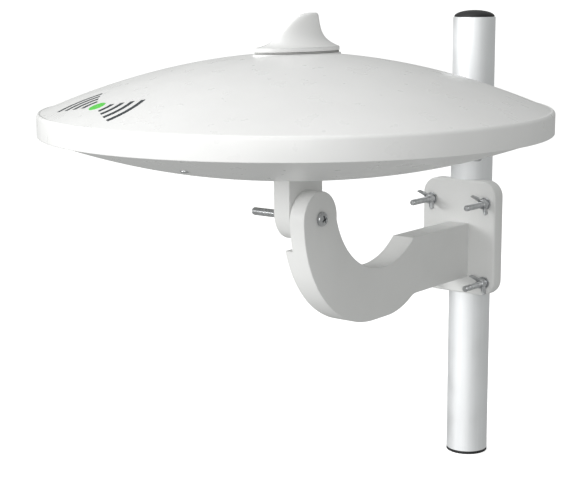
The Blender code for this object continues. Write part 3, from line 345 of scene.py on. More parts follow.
def moulded_plastic(name, dark, light, roughness, grain=2200.0, grain_strength=0.08, coat=0.0):
    """Moulded plastic: faint cloudy colour, fine moulded grain and uneven gloss."""
    material, nodes, links = new_material(name)
    shader = nodes["Principled BSDF"]
    cloud = noise(nodes, links, 14.0)
    colour = tint(nodes, links, cloud.outputs["Fac"], dark, light)
    links.new(colour, shader.inputs["Base Color"])
    smear = noise(nodes, links, 60.0, 6.0)
    rough = spread(nodes, links, smear.outputs["Fac"], roughness - 0.05, roughness + 0.07)
    links.new(rough, shader.inputs["Roughness"])
    fine = noise(nodes, links, grain, 2.0)
    waves = noise(nodes, links, 9.0, 1.0)
    slow = bump_from(nodes, links, waves.outputs["Fac"], 0.03, 0.001)
    normal = bump_from(nodes, links, fine.outputs["Fac"], grain_strength, 0.00008, slow)
    links.new(normal, shader.inputs["Normal"])
    shader.inputs["Coat Weight"].default_value = coat
    shader.inputs["Coat Roughness"].default_value = 0.18
    shader.inputs["IOR"].default_value = 1.46
    return material


def metal(name, dark, light, roughness, scratch=(1, 1, 1), scale=180.0, strength=0.10, worn=0.12):
    """Metal with a drawn or plated surface: streaked colour and roughness, fine scratches."""
    material, nodes, links = new_material(name)
    shader = nodes["Principled BSDF"]
    shader.inputs["Metallic"].default_value = 1.0
    streak = noise(nodes, links, scale, 5.0, scratch)
    colour = tint(nodes, links, streak.outputs["Fac"], dark, light)
    links.new(colour, shader.inputs["Base Color"])
    blotch = noise(nodes, links, 45.0)
    rough = spread(nodes, links, blotch.outputs["Fac"], roughness - worn / 2, roughness + worn)
    links.new(rough, shader.inputs["Roughness"])
    normal = bump_from(nodes, links, streak.outputs["Fac"], strength, 0.00006)
    links.new(normal, shader.inputs["Normal"])
    return material


def board_green(name):
    """Solder mask over copper: darker fields with faint straight tracks."""
    material, nodes, links = new_material(name)
    shader = nodes["Principled BSDF"]
    place = nodes.new("ShaderNodeTexCoord")
    brick = nodes.new("ShaderNodeTexBrick")
    brick.inputs["Scale"].default_value = 160.0
    brick.inputs["Mortar Size"].default_value = 0.06
    brick.inputs["Color1"].default_value = (0.012, 0.105, 0.045, 1)
    brick.inputs["Color2"].default_value = (0.016, 0.125, 0.052, 1)
    brick.inputs["Mortar"].default_value = (0.045, 0.22, 0.09, 1)
    links.new(place.outputs["Object"], brick.inputs["Vector"])
    links.new(brick.outputs["Color"], shader.inputs["Base Color"])
    smear = noise(nodes, links, 90.0)
    rough = spread(nodes, links, smear.outputs["Fac"], 0.28, 0.42)
    links.new(rough, shader.inputs["Roughness"])
    normal = bump_from(nodes, links, brick.outputs["Fac"], 0.2, 0.00005)
    links.new(normal, shader.inputs["Normal"])
    return material


WHITE = moulded_plastic("white_gloss", (0.800, 0.800, 0.793), (0.845, 0.845, 0.840), 0.30,
                        grain=420.0, grain_strength=0.02, coat=0.15)
ARM_WHITE = moulded_plastic("white_satin", (0.760, 0.762, 0.752), (0.810, 0.812, 0.804), 0.46,
                            grain=1500.0, grain_strength=0.08)
BLACK = moulded_plastic("black_plastic", (0.008, 0.008, 0.009), (0.016, 0.016, 0.017), 0.50)
SLATE = moulded_plastic("slate_print", (0.018, 0.024, 0.030), (0.028, 0.036, 0.043), 0.42)
GREEN = moulded_plastic("green_print", (0.085, 0.560, 0.055), (0.105, 0.620, 0.070), 0.42)
RUBBER = moulded_plastic("rubber_black", (0.020, 0.020, 0.020), (0.034, 0.034, 0.034), 0.72,
                         grain=900.0, grain_strength=0.3)
PALE_RUBBER = moulded_plastic("rubber_pale", (0.40, 0.40, 0.39), (0.48, 0.48, 0.47), 0.62,
                              grain=900.0, grain_strength=0.2)
MAST_METAL = metal("mast_satin", (0.88, 0.89, 0.90), (0.94, 0.95, 0.96), 0.62,
                   scratch=(6, 6, 0.15), scale=26.0, strength=0.02)
STEEL = metal("fastener_steel", (0.46, 0.47, 0.48), (0.66, 0.67, 0.68), 0.27, scale=260.0)
SHIELD = metal("tinned_sheet", (0.55, 0.56, 0.56), (0.72, 0.73, 0.73), 0.36, scratch=(1, 12, 1))
COPPER = metal("copper_sheet", (0.58, 0.30, 0.19), (0.80, 0.47, 0.33), 0.36, scale=70.0)
BRASS = metal("plated_brass", (0.62, 0.50, 0.28), (0.80, 0.69, 0.44), 0.30, scale=220.0)
BOARD = board_green("board_mask")


# -------------------------------------------------------- the covers' curves

def crown_height(radius):
    """Outer surface of the upper cover, from the bottom of the rim."""
    share = min(radius / (DOME_RADIUS - RIM_ROUND / 2), 1.0)
    return RIM_HEIGHT + min(CROWN_HEIGHT * (1 - share ** CROWN_EXPONENT), CROWN_HEIGHT - CROWN_FLAT)


def bowl_height(radius):
    """Outer surface of the lower cover."""
    if radius <= BOWL_FLAT_RADIUS:
        return -BOWL_DEPTH
    share = (radius - BOWL_FLAT_RADIUS) / (BOWL_RADIUS - BOWL_FLAT_RADIUS)
    return -BOWL_DEPTH * (1 - share ** BOWL_EXPONENT)


def spaced(start, end, steps, bias=1.0):
    return [start + (end - start) * (step / steps) ** bias for step in range(steps + 1)]


def crown_flat_radius():
    return (DOME_RADIUS - RIM_ROUND / 2) * (CROWN_FLAT / CROWN_HEIGHT) ** (1 / CROWN_EXPONENT)


def at_dome(x=0.0, y=0.0, z=0.0):
    """Dome coordinates, about its axis and the bottom of its rim, as a place in the frame."""
    return Vector((x, DOME_AXIS.y + y, RIM_Z + z))


def named(kind):
    """CAD nodes whose names start in this way, in order."""
    return [name for name in sorted(NODES) if name.startswith(kind)]


def cover_screw_angles():
    """Angles of the cover screws about the dome's axis, from their CAD boxes."""
    return [(name, atan2(middle(name).y - DOME_AXIS.y, middle(name).x))
            for name in named("cover_screw")]


# -------------------------------------------------------- covers

def make_crown():
    """Upper cover: crown, a soft crease where it meets the rim band, seal's ledge and pillars."""
    round_z = RIM_HEIGHT - RIM_ROUND * 0.6
    lip = 0.0007
    profile = [(0, crown_height(0))]
    profile += [(r, crown_height(r)) for r in spaced(crown_flat_radius(), DOME_RADIUS - RIM_ROUND, 44)]
    profile += arc((DOME_RADIUS - RIM_ROUND, round_z), RIM_ROUND, 62, 0, 8)
    profile += arc((DOME_RADIUS - lip, lip), lip, 0, -90, 4)
    inner_skirt = DOME_RADIUS - SKIRT_WALL
    profile += arc((inner_skirt + lip, lip), lip, 270, 180, 4)
    profile += [(inner_skirt, SEAL_LEDGE), (SEAL_SEAT, SEAL_LEDGE)]
    inside = spaced(crown_flat_radius(), SEAL_SEAT, 24)
    profile += [(r, crown_height(r) - COVER_WALL) for r in reversed(inside)]
    profile += [(0, crown_height(0) - COVER_WALL)]
    shell = lathe(profile, DOME_SEGMENTS)
    seat_low = crown_height(FIN_CENTRE + FIN_LENGTH / 2 + FIN_SEAT_EDGE) - COVER_WALL
    seat = prism(fin_oval(FIN_SEAT_EDGE, 96), seat_low, FIN_SEAT_TOP, bevel=0.0002, segments=2)
    turned(seat, FIN_TURN @ Matrix.Translation((0, FIN_CENTRE, 0)))
    steps = [("UNION", seat)]
    pillar_radius = 0.0042
    pillar_top = crown_height(COVER_SCREW_CIRCLE) - COVER_WALL / 2
    screw_to_pillar = 0.0050
    thread_radius = 0.0018
    thread_depth = 0.0105
    for name, angle in cover_screw_angles():
        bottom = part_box(name)[0].z + screw_to_pillar - RIM_Z
        pillar = [(0, bottom + thread_depth), (thread_radius, bottom + thread_depth)]
        pillar += [(thread_radius, bottom), (pillar_radius, bottom)]
        pillar += [(pillar_radius, pillar_top), (0, pillar_top)]
        boss = shifted(lathe(pillar, 28), COVER_SCREW_CIRCLE * cos(angle),
                       COVER_SCREW_CIRCLE * sin(angle))
        steps.append(("UNION", boss))
    piece("crown_shell", solid_result(shell, steps), "dome", [WHITE],
          sharp=28, move=at_dome(), nodes=["upper_cover"])


def make_bowl():
    """Lower cover: shallow bowl with its lug slot, screw recesses, posts and socket hole."""
    inner_edge = BOWL_RADIUS - COVER_WALL
    radii = spaced(BOWL_FLAT_RADIUS, BOWL_RADIUS, 36)
    lip = 0.0006
    profile = [(0, -BOWL_DEPTH)] + [(r, bowl_height(r)) for r in radii]
    profile += arc((BOWL_RADIUS - lip, BOWL_EDGE_TOP - lip), lip, 0, 90, 3)
    profile += [(inner_edge, BOWL_EDGE_TOP)]
    inside = [r for r in radii if r < inner_edge - 0.001] + [inner_edge]
    profile += [(r, bowl_height(r) + COVER_WALL) for r in reversed(inside)]
    profile += [(0, -BOWL_DEPTH + COVER_WALL)]
    shell = lathe(profile, DOME_SEGMENTS)
    slot_half = (LUG_HIGH.y - LUG_LOW.y) / 2 - LUG_FLANGE_LIP + GAP
    slot_y = middle("pivot_lug").y - DOME_AXIS.y
    low_x = LUG_LOW.x + LUG_FLANGE_SIDE - GAP
    high_x = LUG_HIGH.x - LUG_FLANGE_SIDE + GAP
    slot = prism([(low_x, slot_y - slot_half), (high_x, slot_y - slot_half),
                  (high_x, slot_y + slot_half), (low_x, slot_y + slot_half)],
                 -BOWL_DEPTH - COVER_WALL, -BOWL_DEPTH + 2 * COVER_WALL)
    steps = [("DIFFERENCE", slot)]
    seat = bowl_height(COVER_SCREW_CIRCLE) + COVER_WALL - COVER_SEAT
    screw_hole = 0.0019
    below = seat - 0.010
    above = seat + 0.008
    for _, angle in cover_screw_angles():
        stepped = [(0, below), (COVER_SCREW_RECESS, below), (COVER_SCREW_RECESS, seat)]
        stepped += [(screw_hole, seat), (screw_hole, above), (0, above)]
        hole = shifted(lathe(stepped, 36), COVER_SCREW_CIRCLE * cos(angle),
                       COVER_SCREW_CIRCLE * sin(angle))
        steps.append(("DIFFERENCE", hole))
    post_radius = 0.0034
    thread_radius = 0.0015
    thread_depth = 0.0065
    for kind, held in (("board_screw", 0.0022), ("carrier_screw", 0.0031)):
        for name in named(kind):
            spot = middle(name)
            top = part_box(name)[1].z - RIM_Z - SMALL_HEAD - held
            radius = hypot(spot.x, spot.y - DOME_AXIS.y)
            foot = bowl_height(radius) + COVER_WALL / 2
            post = [(0, foot), (post_radius, foot), (post_radius, top), (thread_radius, top)]
            post += [(thread_radius, top - thread_depth), (0, top - thread_depth)]
            steps.append(("UNION", shifted(lathe(post, 24), spot.x, spot.y - DOME_AXIS.y)))
    socket = middle("coax_socket")
    socket_hole = 0.0051
    socket_seat = 0.0076
    for radius, low, high in ((socket_hole, -BOWL_DEPTH - 0.004, -BOWL_DEPTH + 0.006),
                              (socket_seat, -BOWL_DEPTH - 0.004, -BOWL_DEPTH + 0.0008),
                              (socket_seat, -BOWL_DEPTH + COVER_WALL + 0.0004, -BOWL_DEPTH + 0.008)):
        hole = shifted(cylinder(radius, low, high, 48), socket.x, socket.y - DOME_AXIS.y)
        steps.append(("DIFFERENCE", hole))
    piece("bowl_shell", solid_result(shell, steps), "dome", [WHITE],
          sharp=28, move=at_dome(), nodes=["lower_cover"])


# -------------------------------------------------------- fin

def fin_oval(extra, steps):
    half_width = FIN_WIDTH / 2 + extra
    half_length = FIN_LENGTH / 2 + extra
    return [(half_width * cos(2 * pi * i / steps), half_length * sin(2 * pi * i / steps))
            for i in range(steps)]


def fin_section(share):
    """Front, back and half width of the fin at a share of its height."""
    foot = 1 - share
    toe = -FIN_LENGTH / 2 + FIN_TOE
    brow = FIN_TOP_BACK - FIN_TOP_LENGTH - FIN_RAKE - toe
    front = toe - FIN_TOE * foot ** FIN_TOE_CURVE + FIN_RAKE * share + brow * share ** FIN_BROW_CURVE
    heel = FIN_LENGTH / 2 - FIN_TOP_BACK - FIN_LEAN
    back = FIN_TOP_BACK + FIN_LEAN * foot + heel * foot ** FIN_HEEL_CURVE
    half = FIN_TOP_WIDTH / 2 + (FIN_WIDTH - FIN_TOP_WIDTH) / 2 * foot ** FIN_FLANK_CURVE
    return front, back, half


def make_fin():
    """Swept fin on an oval plinth: concave flanks, a nearly flat top with a rounded edge."""
    steps = 72
    levels = [(0.0, 0.0, 0.0004), (0.0, 0.0004, 0.0), (0.0, FIN_BASE - 0.0005, 0.0),
              (0.0, FIN_BASE, 0.0005)]
    body_shares = spaced(0.0, FIN_BODY, 30, 1.5)[1:]
    levels += [(share, FIN_BASE + FIN_HEIGHT * share, 0.0) for share in body_shares]
    top_share = 0.10
    round_height = FIN_HEIGHT * top_share
    for step in range(1, 7):
        angle = radians(90 * step / 6)
        share = FIN_BODY + top_share * sin(angle)
        levels.append((share, FIN_BASE + FIN_HEIGHT * share, round_height * 0.85 * (1 - cos(angle))))
    maker = bmesh.new()
    rings = []
    for share, z, inset in levels:
        front, back, half = fin_section(share)
        centre = (front + back) / 2
        reach = (back - front) / 2 - inset
        ring = []
        for index in range(steps):
            angle = 2 * pi * index / steps
            width = max(half - inset, 0.0006)
            ring.append(maker.verts.new((width * cos(angle), centre + reach * sin(angle), z)))
        rings.append(ring)
    skin(maker, rings)
    maker.faces.new(list(reversed(rings[0])))
    maker.faces.new(rings[-1])
    turned(maker, FIN_TURN @ Matrix.Translation((0, FIN_CENTRE, 0)))
    place = (0, DOME_AXIS.y, FIN_LOW.z)
    piece("fin_shell", maker, "dome", [WHITE], sharp=50, move=place, nodes=["fin"])


# -------------------------------------------------------- bracket

EAR_RADIUS = 0.0200
HOOK_RADIUS = 0.0630
HOOK_CENTRE = (0.0805, 0.0145)
OUTER_RADIUS = 0.0883
HEEL_RADIUS = 0.0700
HEEL_FLAT = 0.0185
HEEL_FILLET = 0.0150
EAR_THICKNESS = 0.0128
EAR_NOTCH = 0.0230
BEAM_WIDTH = 0.0200
BEAM_HEIGHT = 0.0455
BEAM_RISE = 0.0320            # tilt axis above the beam
LUG_RADIUS = 0.0200
LUG_ROUND_RISE = 0.0035       # centre of the lug's round end above the tilt axis
EDGE_ROUND = 0.0009
PLATE_ROUND = 0.0022
PLATE_THICKNESS = 0.0140
PLATE_HEIGHT = 0.0965
PLATE_CORNER = 0.0130
PLATE_FRONT = BRACKET_HIGH.y - PLATE_THICKNESS
PLATE_LOW_Z = 0.144
PLATE_GRIP = 0.0015           # how far the beam runs into the plate
BOLT_HOLE_RADIUS = 0.0034
STUD_HOLE_RADIUS = 0.0029
STUDS = ("upper_left", "upper_right", "lower_left", "lower_right")


def hook_angle_at(offset):
    return degrees(atan2(-sqrt(HOOK_RADIUS ** 2 - offset ** 2), offset)) % 360


def arm_outline():
    """Side outline of ear, hook and beam as (y, z) about the tilt axis."""
    outer = (OUTER_RADIUS - EAR_RADIUS, 0.0)
    heel = (outer[0] + HEEL_FLAT, HEEL_RADIUS - OUTER_RADIUS)
    beam_top = -BEAM_RISE
    beam_bottom = beam_top - BEAM_HEIGHT
    beam_end = PLATE_FRONT + PLATE_GRIP - PIVOT.y
    points = arc((0, 0), EAR_RADIUS, 180, 0, 40)
    start = hook_angle_at(EAR_RADIUS - HOOK_CENTRE[0])
    end = hook_angle_at(sqrt(HOOK_RADIUS ** 2 - (beam_top - HOOK_CENTRE[1]) ** 2))
    points += arc(HOOK_CENTRE, HOOK_RADIUS, start, end, 56)
    points += [(beam_end, beam_top), (beam_end, beam_bottom)]
    fillet_z = beam_bottom - HEEL_FILLET
    reach = HEEL_RADIUS + HEEL_FILLET
    fillet_y = heel[0] + sqrt(reach ** 2 - (fillet_z - heel[1]) ** 2)
    slope = degrees(asin((heel[1] - fillet_z) / reach))
    points += arc((fillet_y, fillet_z), HEEL_FILLET, 90, 180 - slope, 10)
    points += arc(heel, HEEL_RADIUS, -slope, -90, 20)
    points += arc(outer, OUTER_RADIUS, 270, 180, 56)[:-1]
    return points


def make_bracket():
    """Hooked arm and clamp plate with rounded edges, two solids that meet inside the plate."""
    plate = prism(rounded_rectangle(BRACKET_HIGH.x, PLATE_LOW_Z, PLATE_LOW_Z + PLATE_HEIGHT,
                                    PLATE_CORNER, 14),
                  PLATE_FRONT, BRACKET_HIGH.y, "Y", PLATE_ROUND, 4)
    arm_points = [(y + PIVOT.y, z + PIVOT.z) for y, z in arm_outline()]
    arm = prism(arm_points, -BEAM_WIDTH / 2, BEAM_WIDTH / 2, "X", EDGE_ROUND, 3)
    inner_x = BEAM_WIDTH / 2 - EAR_THICKNESS
    floor = PIVOT.z - EAR_NOTCH
    notch = prism([(-BEAM_WIDTH, floor), (inner_x, floor), (inner_x, PIVOT.z + 0.05),
                   (-BEAM_WIDTH, PIVOT.z + 0.05)],
                  PIVOT.y - 2 * LUG_RADIUS, PIVOT.y + 2 * LUG_RADIUS, "Y")
    groove = cylinder(MAST_RADIUS + GAP, 0.10, 0.30, 96)
    hole = cylinder(BOLT_HOLE_RADIUS, -0.02, 0.02, 40)
    ear_hole = turned(hole, Matrix.Translation(PIVOT) @ AXIS_X)
    arm = solid_result(arm, [("DIFFERENCE", notch), ("DIFFERENCE", ear_hole)])
    steps = [("DIFFERENCE", groove)]
    for name in STUDS:
        spot = middle("washer_" + name)
        stud = cylinder(STUD_HOLE_RADIUS, -0.02, 0.02, 32)
        place = Matrix.Translation((spot.x, PLATE_FRONT + PLATE_THICKNESS / 2, spot.z))
        steps.append(("DIFFERENCE", turned(stud, place @ AXIS_FRONT)))
    plate = solid_result(plate, steps)
    piece("hook_bracket", gathered(arm, plate), "bracket", [ARM_WHITE],
          sharp=20, nodes=["bracket"])


# -------------------------------------------------------- threads and fasteners

def threaded(radius, length, pitch, depth, sides=28, per_turn=6, tip=0.0012):
    """A screw thread along +Z from z = 0: its ridges run round as a helix, its tip is chamfered."""
    maker = bmesh.new()
    rows = int(length / pitch * per_turn)
    rings = []
    for row in range(rows + 1):
        z = length * row / rows
        fade = min((length - z) / tip, 1.0)
        ring = []
        for side in range(sides):
            turn = (z / pitch - side / sides) % 1.0
            ridge = abs(turn - 0.5) * 2
            r = (radius - depth * min(max(ridge * 1.3 - 0.15, 0.0), 1.0)) * (0.78 + 0.22 * fade)
            angle = 2 * pi * side / sides
            ring.append(maker.verts.new((r * cos(angle), r * sin(angle), z)))
        rings.append(ring)
    skin(maker, rings)
    maker.faces.new(list(reversed(rings[0])))
    maker.faces.new(rings[-1])
    return maker


def tube_along(points, radius, sides=20):
    """Round bar along points in a level plane, closed at both ends."""
    maker = bmesh.new()
    rings = []
    for index, point in enumerate(points):
        before = points[max(index - 1, 0)]
        after = points[min(index + 1, len(points) - 1)]
        along = atan2(after[1] - before[1], after[0] - before[0])
        ring = []
        for side in range(sides):
            angle = 2 * pi * side / sides
            out = radius * cos(angle)
            ring.append(maker.verts.new((point[0] - out * sin(along), point[1] + out * cos(along),
                                         radius * sin(angle))))
        rings.append(ring)
    skin(maker, rings)
    maker.faces.new(rings[0])
    maker.faces.new(rings[-1])
    return maker


def make_u_bolts():
    """Bent round bar behind the mast, with threaded legs out through the plate."""
    for name in ("u_bolt_upper", "u_bolt_lower"):
        low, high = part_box(name)
        radius = (high.z - low.z) / 2
        half = high.x - radius
        bend_y = high.y - radius - half
        shank_end = PLATE_FRONT + 0.004
        path = [(-half, shank_end), (-half, bend_y)]
        path += list(reversed(arc((0, bend_y), half, 0, 180, 40)))[1:-1]
        path += [(half, bend_y), (half, shank_end)]
        parts = [tube_along(path, radius)]
        for x in (-half, half):
            leg = threaded(radius, shank_end - low.y, 0.0008, 0.00042)
            parts.append(turned(leg, Matrix.Translation((x, shank_end, 0)) @ AXIS_FRONT))
        piece(name + "_bar", gathered(*parts), "bracket", [STEEL], sharp=60,
              move=(0, 0, (low.z + high.z) / 2), nodes=[name])


def wing(side, thickness):
    """One wing: a lobe that leans and rises from the hub, thinner towards its tip."""
    rows = 9
    columns = 12
    reach = 0.0100
    height = 0.0115
    maker = bmesh.new()
    grid = []
    for row in range(rows + 1):
        share = row / rows
        x = 0.0030 + (reach - 0.0034) * share
        low = 0.0010 + 0.0052 * share ** 1.6
        high = 0.0050 + (height - 0.0050) * (share ** 0.8)
        line = []
        for column in range(columns):
            angle = 2 * pi * column / columns
            middle_z = (low + high) / 2
            tall = (high - low) / 2
            lean = 0.0010 * share * share * side
            swell = thickness / 2 * (1.25 - 0.45 * share)
            shift = (1 - abs(sin(angle))) * 0.0004 * share
            line.append(maker.verts.new((side * (x + shift), lean + swell * cos(angle),
                                         middle_z + tall * sin(angle))))
        grid.append(line)
    tip_line = []
    for column in range(columns):
        angle = 2 * pi * column / columns
        base = grid[-1][column].co
        middle_z = sum(v.co.z for v in grid[-1]) / columns
        tip_line.append(maker.verts.new((side * reach, base.y * 0.7 + 0.0003 * side,
                                         middle_z + (base.z - middle_z) * 0.72)))
    grid.append(tip_line)
    skin(maker, grid)
    maker.faces.new(grid[0])
    maker.faces.new(grid[-1])
    return maker


WING_ANGLE = 38.0             # how far the nuts are turned from level, in degrees
WING_THICKNESS = 0.0027


def make_wing_nuts():
    """Forged wing nuts: tapered hub, two leaning wings, a clear threaded bore."""
    for name in STUDS:
        node = "wing_nut_" + name
        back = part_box(node)[1].y
        centre = middle("washer_" + name)
        bore = 0.0027
        hub = [(0.0041, 0), (0.0044, 0.0004), (0.0040, 0.0046), (0.0034, 0.0056), (0.0030, 0.0058)]
        hub += [(bore, 0.0055), (bore, 0.0003)]
        parts = [lathe(hub, 32, closed=True), wing(1, WING_THICKNESS), wing(-1, WING_THICKNESS)]
        lean = Matrix.Rotation(radians(90 + WING_ANGLE), 4, "Z")
        place = Matrix.Translation((centre.x, back, centre.z)) @ AXIS_FRONT @ lean
        piece(node + "_forged", turned(gathered(*parts), place), "wing_nut_" + name,
              [STEEL], sharp=50, nodes=[node])


def make_washers():
    for name in STUDS:
        node = "washer_" + name
        low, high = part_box(node)
        thick = high.y - low.y
        outer = (high.x - low.x) / 2
        edge = 0.00018
        bore = 0.0028
        profile = [(outer - edge, 0), (outer, edge), (outer, thick - edge), (outer - edge, thick)]
        profile += [(bore, thick), (bore, 0)]
        centre = middle(node)
        place = Matrix.Translation((centre.x, high.y, centre.z)) @ AXIS_FRONT
        piece(node + "_disc", turned(lathe(profile, 48, closed=True), place), "bracket",
              [STEEL], sharp=40, nodes=[node])


def cross_tool(reach, width, low, high):
    """Cutter for a cross recess, tapering to its bottom."""
    maker = bmesh.new()
    rings = []
    for z, scale in ((low, 0.72), (high, 1.08)):
        ring = []
        for quarter in range(4):
            angle = radians(90 * quarter)
            for x, y in ((reach, -width), (reach, width), (width, width)):
                px = x * scale
                py = y * scale if abs(y) < reach else y
                ring.append(maker.verts.new((px * cos(angle) - py * sin(angle),
                                             px * sin(angle) + py * cos(angle), z)))
        rings.append(ring)
    skin(maker, rings)
    maker.faces.new(list(reversed(rings[0])))
    maker.faces.new(rings[1])
    return maker


def pan_head(radius, height, recess):
    """Pan head on z = 0 with a rounded top and a cross recess."""
    profile = [(0, 0), (radius - 0.0002, 0), (radius, 0.0002), (radius, height * 0.38)]
    for step in range(1, 9):
        angle = radians(90 * step / 8)
        profile.append((radius * (0.42 + 0.58 * cos(angle)), height * (0.38 + 0.62 * sin(angle))))
    profile.append((0, height))
    head = lathe(profile, 56)
    tool = cross_tool(recess, recess * 0.24, height * 0.35, height + 0.0004)
    return solid_result(head, [("DIFFERENCE", tool)])


def make_pivot_bolt():
    """Cross-head bolt, plain under its head and threaded from x = 0 out past the lug."""
    head_start = BEAM_WIDTH / 2 + GAP
    radius = 0.0030
    joined = 0.0001               # the thread starts this far inside the plain shank
    head_radius = (BOLT_HIGH.z - BOLT_LOW.z) / 2
    head = turned(pan_head(head_radius, BOLT_HIGH.x - head_start, head_radius * 0.58),
                  Matrix.Translation((head_start, 0, 0)) @ AXIS_X @ Matrix.Rotation(radians(28), 4, "Z"))
    shank = turned(cylinder(radius, 0.0, head_start + 0.0002, 40), AXIS_X)
    thread = threaded(radius, -BOLT_LOW.x + joined, 0.0010, 0.00052)
    thread = turned(thread, Matrix.Translation((joined, 0, 0))
                    @ Matrix.Rotation(radians(-90), 4, "Y"))
    piece("pivot_bolt_body", gathered(head, shank, thread), "pivot_bolt", [STEEL], sharp=50,
          move=PIVOT, nodes=["pivot_bolt"])


def hexagon(flats, turn=0.0):
    return arc((0, 0), flats / sqrt(3), turn, turn + 300, 5)


def make_pivot_nut():
    low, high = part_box("pivot_nut")
    flats = high.z - low.z
    body = prism(hexagon(flats, 30), 0, high.x - low.x, bevel=0.0003, segments=2)
    bore = cylinder(0.0032, -0.01, 0.02, 32)
    place = Matrix.Translation((low.x, PIVOT.y, PIVOT.z)) @ AXIS_X
    nut = turned(solid_result(body, [("DIFFERENCE", bore)]), place)
    piece("pivot_nut_body", nut, "dome", [STEEL], nodes=["pivot_nut"])


def make_lug():
    """Tongue with a round end under the dome; its flange is inside the lower cover."""
    inner_x = LUG_HIGH.x - LUG_FLANGE_SIDE
    outer_x = LUG_LOW.x + LUG_FLANGE_SIDE
    base = LUG_HIGH.z - LUG_FLANGE_THICK - PIVOT.z
    top = base + 0.0005
    outline = [(-LUG_RADIUS, top)] + arc((0, LUG_ROUND_RISE), LUG_RADIUS, 180, 360, 48)
    outline += [(LUG_RADIUS, top)]
    tongue = prism(outline, outer_x, inner_x, "X", EDGE_ROUND, 4)
    side = LUG_RADIUS + LUG_FLANGE_LIP
    flange = prism([(LUG_LOW.x, -side), (LUG_HIGH.x, -side), (LUG_HIGH.x, side), (LUG_LOW.x, side)],
                   base, base + LUG_FLANGE_THICK, bevel=0.0004, segments=2)
    bore = turned(cylinder(BOLT_HOLE_RADIUS, -0.04, 0.03, 40), AXIS_X)
    pocket_depth = 0.0056
    pocket_flats = 0.0106
    pocket = turned(prism(hexagon(pocket_flats, 30), -pocket_depth, pocket_depth),
                    Matrix.Translation((outer_x, 0, 0)) @ AXIS_X)
    steps = [("UNION", flange), ("DIFFERENCE", bore), ("DIFFERENCE", pocket)]
    screw_hole = 0.0016
    for name in named("lug_screw"):
        spot = middle(name) - PIVOT
        hole = cylinder(screw_hole, base - 0.002, base + 0.006, 20)
        steps.append(("DIFFERENCE", shifted(hole, spot.x, spot.y)))
    piece("lug_tongue", solid_result(tongue, steps), "dome", [ARM_WHITE],
          move=PIVOT, sharp=20, nodes=["pivot_lug"])


# -------------------------------------------------------- small screws

def make_screws():
    """Pan-head screws with cross recesses and fine threads, one for each CAD screw."""
    kinds = (("cover_screw", 0.0015, 0.0020, -1), ("lug_screw", 0.0012, SMALL_HEAD, 1),
             ("board_screw", 0.0012, SMALL_HEAD, 1), ("carrier_screw", 0.0012, SMALL_HEAD, 1),
             ("fin_screw", 0.0012, SMALL_HEAD, -1))
    for kind, radius, height, facing in kinds:
        for name in named(kind):
            low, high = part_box(name)
            head_radius = (high.x - low.x) / 2
            length = high.z - low.z - height
            head = pan_head(head_radius, height, head_radius * 0.55)
            thread = turned(threaded(radius, length, 0.0006, 0.00025, sides=16, per_turn=4,
                                     tip=0.0008), Matrix.Rotation(radians(180), 4, "X"))
            whole = gathered(head, thread)
            seat = high.z - height if facing > 0 else low.z + height
            centre = middle(name)
            flip = Matrix.Identity(4) if facing > 0 else Matrix.Rotation(radians(180), 4, "X")
            turned(whole, Matrix.Translation((centre.x, centre.y, seat)) @ flip)
            piece(name + "_body", whole, "dome", [STEEL], sharp=45, nodes=[name])


# -------------------------------------------------------- mast

def make_mast():
    """Drawn tube with a broken edge, a domed black cap on top and a plug at its foot."""
    low, high = MAST_LOW, MAST_HIGH
    edge = 0.0004
    bore = MAST_RADIUS - 0.0020
    profile = [(MAST_RADIUS - edge, low.z), (MAST_RADIUS, low.z + edge)]
    profile += [(MAST_RADIUS, low.z + (high.z - low.z) * step / 8) for step in range(1, 8)]
    profile += [(MAST_RADIUS, high.z - edge), (MAST_RADIUS - edge, high.z), (bore, high.z), (bore, low.z)]
    piece("mast_section", lathe(profile, 128, closed=True), "mast", [MAST_METAL],
          nodes=["mast_tube"])
    cap_low, cap_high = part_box("mast_top_cap")
    lip = high.z + GAP
    rim = MAST_RADIUS - 0.0008
    cap = [(0, cap_low.z), (bore - GAP, cap_low.z), (bore - GAP, lip), (rim, lip)]
    cap += [(rim * cos(a), lip + (cap_high.z - lip) * sin(a))
            for a in [radians(90 * step / 16) for step in range(1, 16)]]
    cap += [(0, cap_high.z)]
    piece("mast_cap_dome", lathe(cap, 96), "mast", [BLACK], nodes=["mast_top_cap"])
    foot_low, foot_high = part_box("mast_foot_plug")
    foot = [(0, foot_low.z), (MAST_RADIUS - edge, foot_low.z), (MAST_RADIUS, foot_low.z + edge)]
    brim = foot_low.z + 0.0020
    foot += [(MAST_RADIUS, brim - edge), (MAST_RADIUS - edge, brim)]
    foot += [(bore - GAP, brim), (bore - GAP, foot_high.z), (0, foot_high.z)]
    piece("mast_foot_cap", lathe(foot, 96), "mast", [BLACK],
          nodes=["mast_foot_plug"])


# -------------------------------------------------------- socket and inner parts

